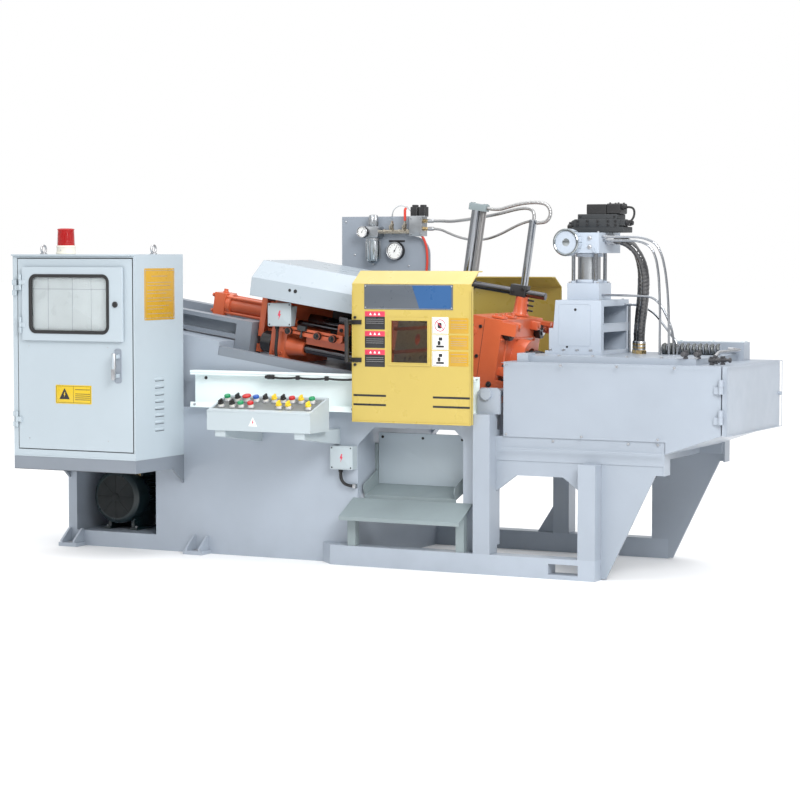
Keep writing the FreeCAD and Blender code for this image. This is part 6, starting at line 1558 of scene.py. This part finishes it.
class DiecastLooks(bpy.types.PropertyGroup):
    """Colours of the machine's main finishes."""
    machine_grey: colour_setting("Machine grey", "Enamel of the base, bed and furnace", (0.345, 0.39, 0.45))
    cabinet_white: colour_setting("Cabinet", "Powder coat of the control cabinet", (0.42, 0.485, 0.53))
    console_white: colour_setting("Console", "Enamel of the console, rails and small boxes",
                                  (0.42, 0.48, 0.51))
    guard_yellow: colour_setting("Guard", "Enamel of the guards", (0.49, 0.375, 0.088))
    clamp_orange: colour_setting("Clamp unit", "Enamel of the clamp unit", (0.58, 0.118, 0.046))
    hood_white: colour_setting("Hood", "Enamel of the hood", (0.375, 0.43, 0.475))


class DiecastStage(bpy.types.PropertyGroup):
    """Camera and lights."""
    camera_turn: bpy.props.FloatProperty(name="Camera turn", description="Degrees round the machine",
                                         default=27.07)
    camera_drop: bpy.props.FloatProperty(name="Camera drop", description="Degrees below the horizon",
                                         default=3.54)
    lens: bpy.props.FloatProperty(name="Lens", description="Focal length in millimetres", default=106.5)
    key: bpy.props.FloatProperty(name="Key light", description="Power of the main lamp", subtype="POWER",
                                 default=440.0)
    fill: bpy.props.FloatProperty(name="Fill", description="Strength of the light from all round",
                                  default=0.95)


class DIECAST_OT_finishes(bpy.types.Operator):
    """Make the finishes and put them on the carried-over nodes"""
    bl_idname = "diecast.finishes"
    bl_label = "Finishes"

    def execute(self, context):
        make_finishes(context.scene.diecast_looks)
        dress_nodes()
        return {"FINISHED"}


class DIECAST_OT_cabinet(bpy.types.Operator):
    """Door seal, vents, bare side plate, eye collars and lips of the cabinet"""
    bl_idname = "diecast.cabinet"
    bl_label = "Cabinet"

    def execute(self, context):
        build_cabinet()
        return {"FINISHED"}


class DIECAST_OT_cabinet_door(bpy.types.Operator):
    """Screen, grip, bare label and screws that swing with the cabinet door"""
    bl_idname = "diecast.cabinet_door"
    bl_label = "Cabinet door"

    def execute(self, context):
        build_cabinet_door()
        return {"FINISHED"}


class DIECAST_OT_window_flap(bpy.types.Operator):
    """Hinged window of the cabinet: frame, hinge halves, gasket, pane and round lock"""
    bl_idname = "diecast.window_flap"
    bl_label = "Window flap"

    def execute(self, context):
        build_window_flap()
        return {"FINISHED"}


class DIECAST_OT_beacon(bpy.types.Operator):
    """Signal lamp: cream foot with a collar, ribbed red lens with a domed cap"""
    bl_idname = "diecast.beacon"
    bl_label = "Beacon"

    def execute(self, context):
        build_beacon()
        return {"FINISHED"}


class DIECAST_OT_motor(bpy.types.Operator):
    """Pump motor: finned shell, fan cowl with a grille, terminal box, feet and plate"""
    bl_idname = "diecast.motor"
    bl_label = "Motor"

    def execute(self, context):
        build_motor()
        return {"FINISHED"}


class DIECAST_OT_console(bpy.types.Operator):
    """Control panel sheet with its push buttons, selectors, stop button and bare sign"""
    bl_idname = "diecast.console"
    bl_label = "Console"

    def execute(self, context):
        build_console()
        return {"FINISHED"}


class DIECAST_OT_boxes(bpy.types.Operator):
    """Lids, screws, signs and glands of the two junction boxes"""
    bl_idname = "diecast.boxes"
    bl_label = "Boxes"

    def execute(self, context):
        build_boxes()
        return {"FINISHED"}


class DIECAST_OT_rails(bpy.types.Operator):
    """Cable and clips along the front rail, screws and hems of both guard rails"""
    bl_idname = "diecast.rails"
    bl_label = "Rails"

    def execute(self, context):
        build_rails()
        return {"FINISHED"}


class DIECAST_OT_guard(bpy.types.Operator):
    """Bare nameplate and labels, stripes, window seal, hems and bolts that ride on the sliding guard"""
    bl_idname = "diecast.guard"
    bl_label = "Guard"

    def execute(self, context):
        build_guard()
        return {"FINISHED"}


class DIECAST_OT_rear_guard(bpy.types.Operator):
    """Hems on the edges of the rear guard"""
    bl_idname = "diecast.rear_guard"
    bl_label = "Rear guard"

    def execute(self, context):
        build_rear_guard()
        return {"FINISHED"}


class DIECAST_OT_clamp(bpy.types.Operator):
    """Bar nuts and ends, bolts, cylinder rings, ejector rod and limit knobs of the clamp unit"""
    bl_idname = "diecast.clamp"
    bl_label = "Clamp"

    def execute(self, context):
        build_clamp()
        return {"FINISHED"}


class DIECAST_OT_die_faces(bpy.types.Operator):
    """Machined face of the moving platen, between its slots, with the bolts of its rim"""
    bl_idname = "diecast.die_faces"
    bl_label = "Die faces"

    def execute(self, context):
        build_die_faces()
        return {"FINISHED"}


class DIECAST_OT_fixed_platen(bpy.types.Operator):
    """Studs, seam, pads, cast ring with lugs and ribs, bosses and die face of the fixed platen"""
    bl_idname = "diecast.fixed_platen"
    bl_label = "Fixed platen"

    def execute(self, context):
        build_fixed_platen()
        return {"FINISHED"}


class DIECAST_OT_spray_gear(bpy.types.Operator):
    """Pedestal, clamps, rods, mast and column that carry the spray hoses"""
    bl_idname = "diecast.spray_gear"
    bl_label = "Spray gear"

    def execute(self, context):
        build_spray_gear()
        return {"FINISHED"}


class DIECAST_OT_hood(bpy.types.Operator):
    """Plugs, hems and stay screws of the hood, and a dark sheet under its far side that is painted shade"""
    bl_idname = "diecast.hood"
    bl_label = "Hood"

    def execute(self, context):
        build_hood()
        return {"FINISHED"}


class DIECAST_OT_air_set(bpy.types.Operator):
    """Filter regulator, gauges, brass manifold, valve block and solenoids on the air panel"""
    bl_idname = "diecast.air_set"
    bl_label = "Air set"

    def execute(self, context):
        build_air_set()
        return {"FINISHED"}


class DIECAST_OT_injection(bpy.types.Operator):
    """Recessed cover, foot bolts, window lips, flange screws, cylinder rings and the wrapped hand wheel"""
    bl_idname = "diecast.injection"
    bl_label = "Injection"

    def execute(self, context):
        build_injection()
        return {"FINISHED"}


class DIECAST_OT_valves(bpy.types.Operator):
    """Stacked servo valve: sandwich blocks, end covers, screws, adjusting knob and the pilot on top"""
    bl_idname = "diecast.valves"
    bl_label = "Valves"

    def execute(self, context):
        build_valves()
        return {"FINISHED"}


class DIECAST_OT_furnace_fittings(bpy.types.Operator):
    """Screws, seams, burner coil, taps, gas pipe and box lid round the furnace"""
    bl_idname = "diecast.furnace_fittings"
    bl_label = "Furnace fittings"

    def execute(self, context):
        build_furnace_fittings()
        return {"FINISHED"}


class DIECAST_OT_furnace_door(bpy.types.Operator):
    """Pressed edge that swings with the furnace door"""
    bl_idname = "diecast.furnace_door"
    bl_label = "Furnace door"

    def execute(self, context):
        build_furnace_door()
        return {"FINISHED"}


class DIECAST_OT_chute(bpy.types.Operator):
    """Black screws and back sheet of the casting chute"""
    bl_idname = "diecast.chute"
    bl_label = "Chute"

    def execute(self, context):
        build_chute()
        return {"FINISHED"}


class DIECAST_OT_feet(bpy.types.Operator):
    """Washers round the anchor holes of the floor feet"""
    bl_idname = "diecast.feet"
    bl_label = "Feet"

    def execute(self, context):
        build_feet()
        return {"FINISHED"}


class DIECAST_OT_hoses(bpy.types.Operator):
    """Oil and spray hoses, each on its own route, with their fittings"""
    bl_idname = "diecast.hoses"
    bl_label = "Hoses"

    def execute(self, context):
        build_hoses()
        return {"FINISHED"}


class DIECAST_OT_cables(bpy.types.Operator):
    """Cables of the pilot valve, the lower box and the limit switches, and the air tubes"""
    bl_idname = "diecast.cables"
    bl_label = "Cables"

    def execute(self, context):
        build_cables()
        return {"FINISHED"}


class DIECAST_OT_stage(bpy.types.Operator):
    """Floor, lights and camera"""
    bl_idname = "diecast.stage"
    bl_label = "Stage"

    def execute(self, context):
        build_stage(context.scene.diecast_stage)
        return {"FINISHED"}


OPERATORS = [
    DIECAST_OT_finishes,
    DIECAST_OT_cabinet,
    DIECAST_OT_cabinet_door,
    DIECAST_OT_window_flap,
    DIECAST_OT_beacon,
    DIECAST_OT_motor,
    DIECAST_OT_console,
    DIECAST_OT_boxes,
    DIECAST_OT_rails,
    DIECAST_OT_guard,
    DIECAST_OT_rear_guard,
    DIECAST_OT_clamp,
    DIECAST_OT_die_faces,
    DIECAST_OT_fixed_platen,
    DIECAST_OT_spray_gear,
    DIECAST_OT_hood,
    DIECAST_OT_air_set,
    DIECAST_OT_injection,
    DIECAST_OT_valves,
    DIECAST_OT_furnace_fittings,
    DIECAST_OT_furnace_door,
    DIECAST_OT_chute,
    DIECAST_OT_feet,
    DIECAST_OT_hoses,
    DIECAST_OT_cables,
    DIECAST_OT_stage,
]


class DIECAST_PT_panel(bpy.types.Panel):
    """Lists the settings and the pieces in the sidebar."""
    bl_idname = "DIECAST_PT_panel"
    bl_label = "Die casting machine"
    bl_space_type = "VIEW_3D"
    bl_region_type = "UI"
    bl_category = "Die caster"

    def draw(self, context):
        for settings in (context.scene.diecast_looks, context.scene.diecast_stage):
            for name in settings.__annotations__:
                self.layout.prop(settings, name)
        for operator in OPERATORS:
            self.layout.operator(operator.bl_idname)


CLASSES = [DiecastLooks, DiecastStage, *OPERATORS, DIECAST_PT_panel]


def register():
    """Add the classes and the scene's settings."""
    for item in CLASSES:
        bpy.utils.register_class(item)
    bpy.types.Scene.diecast_looks = bpy.props.PointerProperty(type=DiecastLooks)
    bpy.types.Scene.diecast_stage = bpy.props.PointerProperty(type=DiecastStage)


def unregister():
    """Take them away again."""
    del bpy.types.Scene.diecast_stage
    del bpy.types.Scene.diecast_looks
    for item in reversed(CLASSES):
        bpy.utils.unregister_class(item)


def main():
    """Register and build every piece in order."""
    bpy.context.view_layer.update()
    register()
    for operator in OPERATORS:
        group, name = operator.bl_idname.split(".")
        getattr(getattr(bpy.ops, group), name)()


if __name__ == "__main__":
    main()
